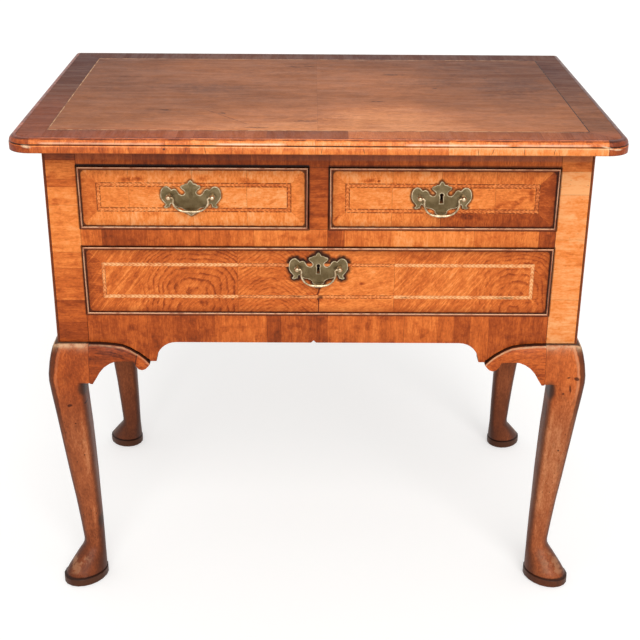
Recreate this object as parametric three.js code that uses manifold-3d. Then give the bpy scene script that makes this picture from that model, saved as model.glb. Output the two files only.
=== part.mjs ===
// Walnut lowboy: a side table with two small drawers over a long one, on four cabriole legs.
// Millimetres, +Z up, front towards -Y, origin on the floor under the middle of the top.
import * as THREE from 'three';
import { mergeVertices } from 'three/addons/utils/BufferGeometryUtils.js';
import Module from 'manifold-3d';

const wasm = await Module();
wasm.setup();

// Top
const topWidth = 804;
const topDepth = 523;
const tableHeight = 706;
const topThickness = 18.5;
const cornerRadius = 31;
const mouldingWidth = 9.5;
const ovoloReach = 8;
const ovoloHeight = 7.6;
const quirkDepth = 1.2;
const quirkHeight = 0.9;

// Case
const sideOverhang = 37;
const frontOverhang = 43;
const backOverhang = 30;
const postWidth = 43.8;
const facingThickness = 2.5;
const facingMargin = 3.6;
const postArris = 2.6;
const apronHeight = 42.5;
const longOpeningHeight = 101;
const midRailHeight = 25;
const smallOpeningHeight = 87.5;
const topRailHeight = 29.2;
const dividerWidth = 26.4;
const railDepth = 62;
const apronThickness = 20;
const sideThickness = 18;
const backThickness = 12;

// Joinery
const jointGap = 0.3;
const tongueLength = 8;
const tongueThickness = 6;
const tenonLength = 12;
const tenonThickness = 10;
const tenonMargin = 5;
const tenonSetback = 8;

// Legs, measured from the corner of the case
const kneeDrop = 57;
const kneeProud = 15.8;
const kneeInset = 34.4;
const frontAnkleHeight = 62;
const rearAnkleHeight = 54;
const ankleWidth = 30.8;
const ankleInset = 41;
const rearAnkleShift = 4;
const padHeight = 12.5;
const frontPadLength = 72;
const frontPadWidth = 56;
const frontPadSetback = 11.7;
const rearPadLength = 62;
const rearPadWidth = 54;
const rearPadSetback = 17;
const padArris = 1.6;
const grooveDepth = 2.4;
const grooveHeight = 1;

// Ears, the brackets beside the knees
const earLength = 84.5;
const earDrop = 58.5;
const earThickness = 24;
const earEndProud = 4.5;
const earEndGap = 3;
const dropEndHeight = 29.7;
const dropEndTip = 9.5;
const dropEndRadius = 28.5;
const nickWidth = 7;
const nickHeight = 3.5;
const nickShift = -6;

// Drawers
const drawerSideGap = 1;
const drawerTopGap = 0.8;
const drawerLift = 0.5;
const frontRecess = 0.4;
const frontThickness = 22;
const beadWidth = 3.2;
const beadProud = 2.4;
const beadDepth = 9;
const beadRound = 1;
const boardThickness = 9.5;
const bottomThickness = 6;
const bottomLift = 7;
const grooveBite = 4;
const tailLength = 9.5;
const backDrop = 8;
const sideDrop = 2.5;
const backClearance = 14;
const runnerHeight = 18;
const runnerReach = 18;
const guideHeight = 14;

// Handles and locks
const plateHalfWidth = 40.4;
const plateRise = 22.4;
const plateDrop = 27.6;
const plateThickness = 1.8;
const postSpacing = 58;
const knobRadius = 3.6;
const knobOffset = 6.2;
const neckRadius = 2.1;
const collarRadius = 3.7;
const collarThickness = 1.2;
const shankRadius = 2.2;
const holeRadius = 2.6;
const nutWidth = 10.5;
const nutThickness = 4;
const shankTail = 3;
const boreRadius = 1.8;
const pinPast = 1.9;
const boreEnd = 0.5;
const bailHalfSpan = 22.9;
const bailDrop = 24;
const shallowBailDrop = 19.5;
const bailRadius = 1.4;
const bailSwell = 0.8;
const keyRadius = 2.6;
const keySlotWidth = 3.4;
const keySlotFlare = 4.8;
const keyRise = 3.2;
const keyFall = 8.2;
const lockWidth = 42;
const lockPlateWidth = 46;
const lockPlateThickness = 1.6;
const lockDepth = 9;
const lockBelow = 16;
const handleRise = 20.5;
const smallHandleRise = 3;
const leftHandleShift = 3.4;
const cutOverrun = 6;

// Sizes worked out from the ones above
const topUnderside = tableHeight - topThickness;
const caseTop = topUnderside - jointGap;
const caseHalf = topWidth / 2 - sideOverhang;
const caseFront = -(topDepth / 2 - frontOverhang);
const caseBack = topDepth / 2 - backOverhang;
const openingHalf = caseHalf - postWidth;
const smallOpeningTop = caseTop - topRailHeight;
const smallOpeningBottom = smallOpeningTop - smallOpeningHeight;
const longOpeningTop = smallOpeningBottom - midRailHeight;
const longOpeningBottom = longOpeningTop - longOpeningHeight;
const caseBottom = longOpeningBottom - apronHeight;
const kneeHeight = caseBottom - kneeDrop;
const backFace = caseBack - backThickness;
const sideFace = caseHalf - sideThickness;
const frontPostRear = caseFront + postWidth;
const rearPostFront = caseBack - postWidth;
const drawerFace = caseFront + frontRecess;
const leftSign = -1;
const rightSign = 1;
const frontSign = -1;
const backSign = 1;

// Fineness of the curves
const ringSides = 20;
const tubeSides = 8;
const turnedSides = 16;
const curveSteps = 8;
const cornerSteps = 10;
const holeSides = 10;

const WALNUT = { color: 0xa35a2c, roughness: 0.38, metalness: 0 };
const VENEER = { color: 0xb5672f, roughness: 0.34, metalness: 0 };
const OAK = { color: 0x9a7448, roughness: 0.72, metalness: 0 };
const PINE = { color: 0xb08a58, roughness: 0.8, metalness: 0 };
const BRASS = { color: 0x7d7449, roughness: 0.42, metalness: 0.9 };
const STEEL = { color: 0x6d675c, roughness: 0.5, metalness: 0.85 };

const lowboy = new THREE.Group();

function addPiece(name, geometry, finish) {
  const piece = new THREE.Mesh(geometry, new THREE.MeshStandardMaterial(finish));
  piece.name = name;
  lowboy.add(piece);
}

// Booleans on closed geometries
function toSolid(geometry) {
  const bare = geometry.clone();
  bare.deleteAttribute('normal');
  bare.deleteAttribute('uv');
  const merged = mergeVertices(bare);
  return new wasm.Manifold(new wasm.Mesh({
    numProp: 3,
    vertProperties: new Float32Array(merged.attributes.position.array),
    triVerts: new Uint32Array(merged.index.array),
  }));
}

function toGeometry(solid) {
  const mesh = solid.getMesh();
  const geometry = new THREE.BufferGeometry();
  geometry.setAttribute('position', new THREE.BufferAttribute(mesh.vertProperties, 3));
  geometry.setIndex(new THREE.BufferAttribute(mesh.triVerts, 1));
  geometry.computeVertexNormals();
  return geometry;
}

function join(first, ...others) {
  return toGeometry(others.reduce((solid, other) => solid.add(toSolid(other)), toSolid(first)));
}

function cut(first, ...cutters) {
  return toGeometry(cutters.reduce((solid, cutter) => solid.subtract(toSolid(cutter)), toSolid(first)));
}

// Blocks and prisms: each range is a pair, lowest first
function block([x0, x1], [y0, y1], [z0, z1]) {
  const geometry = new THREE.BoxGeometry(x1 - x0, y1 - y0, z1 - z0);
  return geometry.translate((x0 + x1) / 2, (y0 + y1) / 2, (z0 + z1) / 2);
}

function asShape(outline) {
  if (outline instanceof THREE.Shape) return outline;
  return new THREE.Shape(outline.map(([a, b]) => new THREE.Vector2(a, b)));
}

const axisBases = {
  x: new THREE.Matrix4().makeBasis(
    new THREE.Vector3(0, 1, 0), new THREE.Vector3(0, 0, 1), new THREE.Vector3(1, 0, 0)),
  y: new THREE.Matrix4().makeBasis(
    new THREE.Vector3(1, 0, 0), new THREE.Vector3(0, 0, 1), new THREE.Vector3(0, -1, 0)),
  z: new THREE.Matrix4(),
};

// An outline in YZ, XZ or XY, drawn out along the axis that it lacks
function prism(axis, outline, [start, end], bevel = { bevelEnabled: false }) {
  const depth = end - start - 2 * (bevel.bevelThickness ?? 0);
  const settings = { depth, steps: 1, curveSegments: curveSteps, ...bevel };
  const geometry = new THREE.ExtrudeGeometry(asShape(outline), settings);
  geometry.translate(0, 0, bevel.bevelThickness ?? 0);
  geometry.applyMatrix4(axisBases[axis]);
  if (axis === 'x') geometry.translate(start, 0, 0);
  if (axis === 'y') geometry.translate(0, end, 0);
  if (axis === 'z') geometry.translate(0, 0, start);
  return geometry;
}

// A closed skin through rings of points that all have the same count
function loft(rings, capOutline = null) {
  const count = rings[0].length;
  const positions = rings.flat().flatMap((point) => [point.x, point.y, point.z]);
  const triangles = [];
  for (let ring = 0; ring < rings.length - 1; ring += 1) {
    for (let side = 0; side < count; side += 1) {
      const a = ring * count + side;
      const b = ring * count + ((side + 1) % count);
      triangles.push([a, b, b + count], [a, b + count, a + count]);
    }
  }
  const fan = Array.from({ length: count - 2 }, (_, step) => [0, step + 1, step + 2]);
  let capFaces = capOutline ? THREE.ShapeUtils.triangulateShape(capOutline, []) : fan;
  if (capOutline && THREE.ShapeUtils.isClockWise(capOutline)) {
    capFaces = capFaces.map(([a, b, c]) => [a, c, b]);
  }
  const lastRing = (rings.length - 1) * count;
  for (const [a, b, c] of capFaces) {
    triangles.push([a, c, b], [lastRing + a, lastRing + b, lastRing + c]);
  }
  const corner = (index) => new THREE.Vector3().fromArray(positions, 3 * index);
  const volume = triangles.reduce(
    (sum, [a, b, c]) => sum + corner(a).dot(corner(b).cross(corner(c))), 0);
  const faces = volume > 0 ? triangles : triangles.map(([a, b, c]) => [a, c, b]);
  const geometry = new THREE.BufferGeometry();
  geometry.setAttribute('position', new THREE.Float32BufferAttribute(positions, 3));
  geometry.setIndex(faces.flat());
  geometry.computeVertexNormals();
  return geometry;
}

// The value at a share, on straight lines between the rows of a table
function shareCurve(rows) {
  return (share) => {
    const last = rows.length - 2;
    const found = rows.findIndex(([at]) => share < at) - 1;
    const index = found < 0 ? last : Math.min(found, last);
    const [a0, v0] = rows[index];
    const [a1, v1] = rows[index + 1];
    return v0 + ((v1 - v0) * (share - a0)) / (a1 - a0);
  };
}

// Top: a veneered board inside cross-grained mouldings, which turn the two front corners
const jointX = topWidth / 2 - cornerRadius;
const boardCorner = cornerRadius - mouldingWidth;

function topBoard() {
  const halfWidth = topWidth / 2 - mouldingWidth - jointGap;
  const front = -(topDepth / 2 - mouldingWidth - jointGap);
  const back = topDepth / 2;
  const shape = new THREE.Shape();
  shape.moveTo(halfWidth, back);
  shape.lineTo(-halfWidth, back);
  shape.lineTo(-halfWidth, front + boardCorner);
  shape.absarc(-halfWidth + boardCorner, front + boardCorner, boardCorner, Math.PI, 1.5 * Math.PI);
  shape.lineTo(halfWidth - boardCorner, front);
  shape.absarc(halfWidth - boardCorner, front + boardCorner, boardCorner, 1.5 * Math.PI, 2 * Math.PI);
  return prism('z', shape, [topUnderside, tableHeight]);
}

// Section of the moulding: outset from the edge line and height
function mouldingSection() {
  const ovolo = [0, 0.2, 0.4, 0.6, 0.8, 1].map((share) => {
    const turn = (share * Math.PI) / 2;
    const outset = -quirkDepth / 2 - (ovoloReach - quirkDepth / 2) * (1 - Math.sin(turn));
    return [outset, tableHeight - ovoloHeight * (1 - Math.cos(turn))];
  });
  const quirkTop = tableHeight - ovoloHeight;
  return [
    [-mouldingWidth, topUnderside],
    [-mouldingWidth, tableHeight],
    ...ovolo,
    [-quirkDepth - quirkDepth / 2, quirkTop],
    [-quirkDepth - quirkDepth / 2, quirkTop - quirkHeight],
    [-quirkDepth / 2, quirkTop - quirkHeight],
    [0, quirkTop - quirkHeight - quirkDepth / 2],
    [0, topUnderside],
  ];
}

function moulding(stations) {
  const section = mouldingSection();
  const rings = stations.map(({ x, y, outX, outY }) => section.map(([outset, height]) =>
    new THREE.Vector3(x + outX * outset, y + outY * outset, height)));
  return loft(rings, section.map(([outset, height]) => new THREE.Vector2(outset, height)));
}

function sideMoulding(sign) {
  const edge = topWidth / 2;
  const front = -topDepth / 2;
  const stations = [{ x: sign * edge, y: topDepth / 2, outX: sign, outY: 0 }];
  for (let step = 0; step <= cornerSteps; step += 1) {
    const turn = (step / cornerSteps) * (Math.PI / 2);
    stations.push({
      x: sign * (edge - cornerRadius + cornerRadius * Math.cos(turn)),
      y: front + cornerRadius - cornerRadius * Math.sin(turn),
      outX: sign * Math.cos(turn),
      outY: -Math.sin(turn),
    });
  }
  return moulding(stations);
}

function frontMoulding() {
  const y = -topDepth / 2;
  const reach = jointX - jointGap;
  return moulding([{ x: -reach, y, outX: 0, outY: -1 }, { x: reach, y, outX: 0, outY: -1 }]);
}

addPiece('top_board', topBoard(), VENEER);
addPiece('top_front_moulding', frontMoulding(), WALNUT);
addPiece('top_left_moulding', sideMoulding(leftSign), WALNUT);
addPiece('top_right_moulding', sideMoulding(rightSign), WALNUT);

// Faces of knees and ears: by the share of the fall from the case, the share of the full reach
const faceShares = [[0, 0.2], [0.04, 0.36], [0.12, 0.49], [0.28, 0.66], [0.5, 0.83], [0.8, 0.98], [1, 1]];

// Shaft: from ankle to knee, how far the outer and the inner line have moved
const shaftLevelShares = [0, 0.12, 0.27, 0.42, 0.57, 0.71, 0.82, 0.92, 1];
const outerShare = shareCurve([[0, 0], [0.15, 0.12], [0.3, 0.26], [0.45, 0.44], [0.6, 0.59],
  [0.75, 0.745], [0.88, 0.875], [0.94, 0.95], [1, 1]]);
const innerShare = shareCurve([[0, 0], [0.15, 0.05], [0.3, 0.18], [0.45, 0.24], [0.6, 0.43], [0.75, 0.63],
  [0.88, 0.97], [1, 1]]);

// Foot: from the pad's groove up to the ankle, how much of the pad's reach is left
const footShares = [[0, 0.9], [0.12, 0.79], [0.33, 0.56], [0.54, 0.33], [0.7, 0.14], [0.83, 0.03]];

// Squareness of the leg's section: two is round, more is squarer
const footPower = 2;
const ankleFootPower = 2.3;
const anklePower = 2.4;
const kneePower = 4.8;
const shoulderPower = 7;

// One level of a leg: outer and inner reach from the case's corner, stretch towards the toe, squareness
function legRing(corner, height, { outset, inset, toe, power }) {
  const half = (outset + inset) / 2;
  const width = half / Math.sqrt((toe * toe + 1) / 2);
  const centre = half - outset;
  return Array.from({ length: ringSides }, (_, side) => {
    const turn = (2 * Math.PI * (side + 0.5)) / ringSides;
    const across = width * Math.sign(Math.cos(turn)) * Math.abs(Math.cos(turn)) ** (2 / power);
    const along = width * Math.sign(Math.sin(turn)) * Math.abs(Math.sin(turn)) ** (2 / power);
    const stretch = ((toe - 1) * (across + along)) / 2;
    return new THREE.Vector3(
      corner.x - corner.signX * (centre + across + stretch),
      corner.y - corner.signY * (centre + along + stretch),
      height);
  });
}

function legShaft(corner, foot) {
  const padHalf = Math.sqrt((foot.length ** 2 + foot.width ** 2) / 8);
  const padToe = foot.length / foot.width;
  const pad = {
    outset: padHalf - foot.setback, inset: padHalf + foot.setback, toe: padToe, power: footPower,
  };
  const padLess = (less) => ({ ...pad, outset: pad.outset - less, inset: pad.inset - less });
  const inner = ankleInset + foot.shift;
  const outer = ankleWidth - inner;
  const footBase = padHeight + grooveHeight;
  const footTop = footBase + grooveHeight;
  const rings = [
    legRing(corner, 0, padLess(padArris)),
    legRing(corner, padArris, pad),
    legRing(corner, padHeight - padArris / 2, pad),
    legRing(corner, padHeight, padLess(padArris / 2)),
    legRing(corner, footBase, padLess(grooveDepth + padArris / 2)),
  ];
  const between = (from, to, share) => from + (to - from) * share;
  for (const [rise, reach] of footShares) {
    rings.push(legRing(corner, between(footTop, foot.ankle, rise), {
      outset: between(outer, pad.outset, reach),
      inset: between(inner, pad.inset - grooveHeight, reach),
      toe: between(1, padToe, reach),
      power: between(ankleFootPower, footPower, reach),
    }));
  }
  for (const level of shaftLevelShares) {
    rings.push(legRing(corner, between(foot.ankle, kneeHeight, level), {
      outset: between(outer, kneeProud, outerShare(level)),
      inset: between(inner, kneeInset, innerShare(level)),
      toe: 1,
      power: between(anklePower, kneePower, level),
    }));
  }
  for (const [fall, reach] of faceShares.slice(0, -1).reverse()) {
    rings.push(legRing(corner, caseBottom - fall * kneeDrop, {
      outset: kneeProud * reach, inset: kneeInset, toe: 1, power: between(shoulderPower, kneePower, fall),
    }));
  }
  return loft(rings);
}

// Ranges measured inwards from the case's corner, turned into model ranges
function inward(at, sign, from, to) {
  return [at - sign * from, at - sign * to].sort((a, b) => a - b);
}

function leg(name, signX, signY) {
  const isFront = signY === frontSign;
  const corner = { x: signX * caseHalf, y: isFront ? caseFront : caseBack, signX, signY };
  const frontFoot = { length: frontPadLength, width: frontPadWidth, setback: frontPadSetback,
    ankle: frontAnkleHeight, shift: 0 };
  const rearFoot = { length: rearPadLength, width: rearPadWidth, setback: rearPadSetback,
    ankle: rearAnkleHeight, shift: rearAnkleShift };
  const foot = isFront ? frontFoot : rearFoot;
  const alongX = (from, to) => inward(corner.x, signX, from, to);
  const alongY = (from, to) => inward(corner.y, signY, from, to);

  // Returns: the knee's faces carried on, level underneath, to where the ears begin
  const returnFace = faceShares.map(([fall, reach]) => [kneeProud * reach, caseBottom - kneeDrop * fall]);
  const returnOutline = (at, sign) => [
    [at - sign * postWidth, kneeHeight], [at - sign * postWidth, caseBottom],
    ...returnFace.map(([out, height]) => [at + sign * out, height])];
  const returns = [prism('y', returnOutline(corner.x, signX), alongY(kneeInset / 2, postWidth))];
  if (isFront) returns.push(prism('x', returnOutline(corner.y, signY), alongX(kneeInset / 2, postWidth)));
  const facingSeat = isFront ? facingThickness + jointGap : 0;
  const at = (u, v) => [corner.x - signX * u, corner.y - signY * v];
  const postOutline = [
    at(0, postArris), at(postArris * 0.3, postArris * 0.3), at(postArris, 0),
    at(facingMargin, 0), at(facingMargin, facingSeat), at(postWidth, facingSeat),
    at(postWidth, postWidth), at(0, postWidth),
  ].filter(([x, y], index, all) => index === 0 || x !== all[index - 1][0] || y !== all[index - 1][1]);
  const post = prism('z', postOutline, [caseBottom - tenonMargin, caseTop]);
  const body = join(legShaft(corner, foot), ...returns, post);

  // Groove for the side panel's tongue, and for the back panel's on a rear leg
  const tongueTop = [caseBottom + tenonMargin, caseTop + cutOverrun];
  const grooveFace = caseHalf - (sideThickness - tongueThickness) / 2;
  const sideGroove = block(
    inward(signX * grooveFace, signX, -jointGap, tongueThickness + jointGap),
    alongY(postWidth - tongueLength - jointGap, postWidth + cutOverrun), tongueTop);
  const cutters = [sideGroove];
  if (isFront) {
    for (const [low, high] of railTenonHeights()) {
      cutters.push(block(
        alongX(postWidth - tenonLength - jointGap, postWidth + cutOverrun),
        [caseFront + tenonSetback - jointGap, caseFront + tenonSetback + tenonThickness + jointGap],
        [low - jointGap, high + jointGap]));
    }
  } else {
    cutters.push(block(
      alongX(postWidth - tongueLength - jointGap, postWidth + cutOverrun),
      inward(caseBack - (backThickness - tongueThickness) / 2, 1, -jointGap, tongueThickness + jointGap),
      tongueTop));
  }
  addPiece(name, cut(body, ...cutters), WALNUT);
}

// Heights of the tenons of apron, middle rail and top rail
function railTenonHeights() {
  return [
    [caseBottom + tenonMargin, longOpeningBottom - tenonMargin],
    [longOpeningTop + tenonMargin, smallOpeningBottom - tenonMargin],
    [smallOpeningTop + tenonMargin, caseTop - tenonMargin],
  ];
}

leg('front_left_leg', leftSign, frontSign);
leg('front_right_leg', rightSign, frontSign);
leg('rear_left_leg', leftSign, backSign);
leg('rear_right_leg', rightSign, backSign);

// Cross-grained facings on the front posts
for (const [side, sign] of [['left', leftSign], ['right', rightSign]]) {
  addPiece(`${side}_stile`, block(
    inward(sign * caseHalf, sign, facingMargin + jointGap, postWidth),
    [caseFront, caseFront + facingThickness],
    [caseBottom + jointGap, caseTop]), VENEER);
}

// Ears: stations along the length, with the share of the drop at the top and bottom lines
const earShares = [
  [0, 0, 0.99], [0.045, 0, 1], [0.11, 0, 0.85], [0.175, 0, 0.69], [0.25, 0.01, 0.565], [0.34, 0.02, 0.48],
  [0.44, 0.04, 0.43], [0.56, 0.075, 0.435], [0.68, 0.155, 0.455], [0.735, 0.21, 0.47], [0.76, 0.24, 0.57],
  [0.81, 0.285, 0.67], [0.865, 0.35, 0.7], [0.92, 0.42, 0.68], [0.965, 0.49, 0.62], [1, 0.53, 0.56],
];
const earTopShare = shareCurve(earShares.map(([along, top]) => [along, top]));
const earProudShare = shareCurve([[0, 1], [0.12, 0.94], [0.25, 0.82], [0.4, 0.62], [0.6, 0.36], [0.75, 0.2],
  [0.9, 0.12], [1, 0]]);

function earTopLine(distance) {
  return caseBottom - earDrop * earTopShare(distance / earLength);
}

// place(distance, proud) gives the plan position of a point of the ear
function ear(name, place) {
  const rings = earShares.map(([along, top, bottom]) => {
    const distance = jointGap + along * (earLength - jointGap);
    const high = caseBottom - earDrop * top;
    const low = caseBottom - earDrop * bottom;
    const proud = earEndProud + (kneeProud - earEndProud) * earProudShare(along);
    const at = (out, height) => new THREE.Vector3(...place(distance, out), height);
    return [
      at(-earThickness, low),
      at(-earThickness, high),
      ...faceShares.map(([fall, reach]) => at(proud * reach, high - (high - low) * fall)),
    ];
  });
  addPiece(name, loft(rings), WALNUT);
}

for (const [side, sign] of [['left', leftSign], ['right', rightSign]]) {
  const outer = sign * caseHalf;
  ear(`front_${side}_ear`, (distance, proud) => [sign * (openingHalf - distance), caseFront - proud]);
  ear(`${side}_front_side_ear`, (distance, proud) => [outer + sign * proud, frontPostRear + distance]);
  ear(`${side}_rear_side_ear`, (distance, proud) => [outer + sign * proud, rearPostFront - distance]);
}

// Lower edge of apron and sides: over the ears with a gap that opens towards their ends, round the
// drop ends, then level between them
function skirtEdge(length) {
  const half = length / 2;
  const tipHeight = caseBottom - dropEndHeight;
  const tipStart = earLength - jointGap;
  const tipEnd = earLength + dropEndTip - jointGap;
  const points = earShares
    .map(([along]) => [along * earLength, earTopLine(along * earLength) + jointGap + earEndGap * along ** 3])
    .filter(([distance]) => distance < tipStart);
  points.push([tipStart, tipHeight + earEndGap], [tipStart, tipHeight], [tipEnd, tipHeight]);
  for (let step = 1; step <= curveSteps; step += 1) {
    const turn = (step / curveSteps) * (Math.PI / 2);
    points.push([
      tipEnd + dropEndRadius * (1 - Math.cos(turn)),
      tipHeight + dropEndHeight * Math.sin(turn),
    ]);
  }
  const mirrored = points.map(([along, height]) => [length - along, height]).reverse();
  return [...points, ...mirrored].map(([along, height]) => [along - half, height]);
}

function withTenons(board, half, [low, high]) {
  const tenonFront = caseFront + tenonSetback;
  return join(board, block([-(half + tenonLength), half + tenonLength],
    [tenonFront, tenonFront + tenonThickness], [low, high]));
}

// Front frame: apron, rails and divider
const [apronTenon, midTenon, topTenon] = railTenonHeights();
const railHalf = openingHalf - jointGap;
const apronEdge = skirtEdge(2 * openingHalf)
  .map(([x, z]) => [THREE.MathUtils.clamp(x, -railHalf, railHalf), z]);
const nick = [[-nickWidth / 2, 0], [0, nickHeight], [nickWidth / 2, 0]]
  .map(([along, rise]) => [nickShift + along, caseBottom + rise]);
const apronOutline = [...apronEdge.slice(0, apronEdge.length / 2), ...nick,
  ...apronEdge.slice(apronEdge.length / 2), [railHalf, longOpeningBottom], [-railHalf, longOpeningBottom]];
addPiece('apron', withTenons(
  prism('y', apronOutline, [caseFront, caseFront + apronThickness]), railHalf, apronTenon), VENEER);

const dividerTenonDepth = [caseFront + tenonSetback, caseFront + tenonSetback + railDepth / 2];
const dividerTenonHalf = dividerWidth / 4;
const dividerMortise = (range) => block(
  [-dividerTenonHalf - jointGap, dividerTenonHalf + jointGap],
  [dividerTenonDepth[0] - jointGap, dividerTenonDepth[1] + jointGap], range);
const midRail = block([-railHalf, railHalf], [caseFront, caseFront + railDepth],
  [longOpeningTop, smallOpeningBottom]);
addPiece('mid_rail', cut(withTenons(midRail, railHalf, midTenon),
  dividerMortise([smallOpeningBottom - tongueLength - jointGap, smallOpeningBottom + cutOverrun])), VENEER);
const topRail = block([-railHalf, railHalf], [caseFront, caseFront + railDepth],
  [smallOpeningTop, caseTop]);
addPiece('top_rail', cut(withTenons(topRail, railHalf, topTenon),
  dividerMortise([smallOpeningTop - cutOverrun, smallOpeningTop + tongueLength + jointGap])), VENEER);
addPiece('drawer_divider', join(
  block([-dividerWidth / 2, dividerWidth / 2], [caseFront, caseFront + railDepth],
    [smallOpeningBottom + jointGap, smallOpeningTop - jointGap]),
  block([-dividerTenonHalf, dividerTenonHalf], dividerTenonDepth,
    [smallOpeningBottom - tongueLength, smallOpeningTop + tongueLength])), VENEER);

// Sides, with a tongue into each post, and the back between the rear posts
const sideLength = rearPostFront - frontPostRear;
const sideMiddle = (rearPostFront + frontPostRear) / 2;
const tongueHeights = [caseBottom + tenonMargin + jointGap, caseTop];
for (const [side, sign] of [['left', leftSign], ['right', rightSign]]) {
  const half = sideLength / 2 - jointGap;
  const edge = skirtEdge(sideLength).map(([along, height]) => [
    sideMiddle + THREE.MathUtils.clamp(along, -half, half), height]);
  const outline = [...edge, [sideMiddle + half, caseTop], [sideMiddle - half, caseTop]];
  const panel = prism('x', outline, [sideFace, caseHalf]);
  const tongue = block(
    inward(caseHalf - (sideThickness - tongueThickness) / 2, 1, 0, tongueThickness),
    [sideMiddle - half - tongueLength, sideMiddle + half + tongueLength], tongueHeights);
  const geometry = join(panel, tongue);
  if (sign === leftSign) geometry.translate(-sideFace - caseHalf, 0, 0);
  addPiece(`${side}_side`, geometry, VENEER);
}
addPiece('back_panel', join(
  block([-railHalf, railHalf], [backFace, caseBack], [caseBottom, caseTop]),
  block([-(railHalf + tongueLength), railHalf + tongueLength],
    inward(caseBack - (backThickness - tongueThickness) / 2, 1, 0, tongueThickness), tongueHeights)), OAK);

// Runners: a shelf under the drawer's side and a guide beside it, let in between the posts
function sideRunner(name, sign, level, frontEnd) {
  const inner = openingHalf - runnerReach;
  const betweenPosts = [Math.max(frontPostRear + jointGap, frontEnd), rearPostFront - jointGap];
  const across = (from, to) => inward(sign * to, sign, 0, to - from);
  addPiece(name, join(
    block(across(inner, openingHalf - jointGap), [frontEnd, backFace - jointGap],
      [level - runnerHeight, level]),
    block(across(inner, sideFace - jointGap), betweenPosts, [level - runnerHeight, level]),
    block(across(openingHalf, sideFace - jointGap), betweenPosts,
      [level - runnerHeight / 2, level + guideHeight])), OAK);
}

const apronRear = caseFront + apronThickness + jointGap;
const railRear = caseFront + railDepth + jointGap;
for (const [side, sign] of [['left', leftSign], ['right', rightSign]]) {
  sideRunner(`long_drawer_${side}_runner`, sign, longOpeningBottom, apronRear);
  sideRunner(`small_drawer_${side}_runner`, sign, smallOpeningBottom, railRear);
}
const centreRunnerHalf = dividerWidth / 2 + runnerReach;
addPiece('small_drawer_centre_runner', join(
  block([-centreRunnerHalf, centreRunnerHalf], [railRear, backFace - jointGap],
    [smallOpeningBottom - runnerHeight, smallOpeningBottom]),
  block([-dividerWidth / 2, dividerWidth / 2], [railRear, backFace - jointGap],
    [smallOpeningBottom - runnerHeight / 2, smallOpeningBottom + guideHeight])), OAK);

// Dovetails: tails of one end of a drawer side, as [distance past the shoulder, height] points
const tailShares = [0.26, 0.38];
function tailPoints(count, [low, high], grow) {
  const pitch = (high - low) / count;
  return Array.from({ length: count }, (_, index) => {
    const middle = low + pitch * (index + 0.5);
    const neck = pitch * tailShares[0] + grow;
    const wide = pitch * tailShares[1] + grow;
    return [[0, middle - neck], [tailLength + grow, middle - wide],
      [tailLength + grow, middle + wide], [0, middle + neck]];
  });
}

// Keyhole: a round eye over a slot that widens downwards, about its own centre
function keyholeOutline(x, z) {
  const points = [];
  const eyeZ = z + keyRise;
  const open = Math.asin(keySlotWidth / 2 / keyRadius);
  for (let step = 0; step <= curveSteps; step += 1) {
    const turn = -Math.PI / 2 + open + (step / curveSteps) * (2 * Math.PI - 2 * open);
    points.push([x + keyRadius * Math.cos(turn), eyeZ + keyRadius * Math.sin(turn)]);
  }
  points.push([x - keySlotFlare / 2, z - keyFall], [x + keySlotFlare / 2, z - keyFall]);
  return points;
}

// Backplate: right half of the bat-wing outline, as shares of half width, rise (up) and drop (down)
const plateShares = [
  [0, 1], [0.045, 0.955], [0.075, 0.88], [0.095, 0.8], [0.15, 0.79], [0.2, 0.755], [0.24, 0.7],
  [0.3, 0.68], [0.33, 0.61], [0.325, 0.52], [0.285, 0.44], [0.225, 0.36], [0.19, 0.27], [0.195, 0.18],
  [0.24, 0.1], [0.31, 0.08], [0.375, 0.16], [0.42, 0.28], [0.46, 0.4], [0.52, 0.46], [0.58, 0.45],
  [0.625, 0.4], [0.66, 0.47], [0.72, 0.58], [0.79, 0.63], [0.87, 0.6], [0.94, 0.49], [0.985, 0.33],
  [1, 0.13], [0.995, -0.06], [0.95, -0.2], [0.885, -0.31], [0.835, -0.4], [0.85, -0.47], [0.895, -0.53],
  [0.86, -0.59], [0.8, -0.6], [0.75, -0.55], [0.7, -0.55], [0.69, -0.44], [0.655, -0.36], [0.61, -0.4],
  [0.54, -0.5], [0.45, -0.56], [0.35, -0.585], [0.27, -0.63], [0.215, -0.7], [0.2, -0.8], [0.15, -0.87],
  [0.08, -0.92], [0, -1],
];

function backplateOutline(x, z) {
  const half = plateShares.map(([across, up]) => [
    across * plateHalfWidth, up * (up > 0 ? plateRise : plateDrop)]);
  const other = half.slice(1, -1).reverse().map(([across, up]) => [-across, up]);
  return [...half, ...other].reverse().map(([across, up]) => [x + across, z + up]);
}

function circleOutline(x, z, radius, sides) {
  return Array.from({ length: sides }, (_, side) => {
    const turn = (2 * Math.PI * side) / sides;
    return [x + radius * Math.cos(turn), z + radius * Math.sin(turn)];
  });
}

function asPath(outline) {
  return new THREE.Path(outline.map(([a, b]) => new THREE.Vector2(a, b)));
}

// Bail: pins, swan-neck arms and a swelled middle, as shares of the half span and the drop
const bailShares = [
  [0.985, -0.1], [1.02, -0.24], [1.015, -0.38], [0.97, -0.53], [0.89, -0.68], [0.77, -0.81],
  [0.6, -0.92], [0.38, -0.985], [0.15, -1],
];

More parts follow.
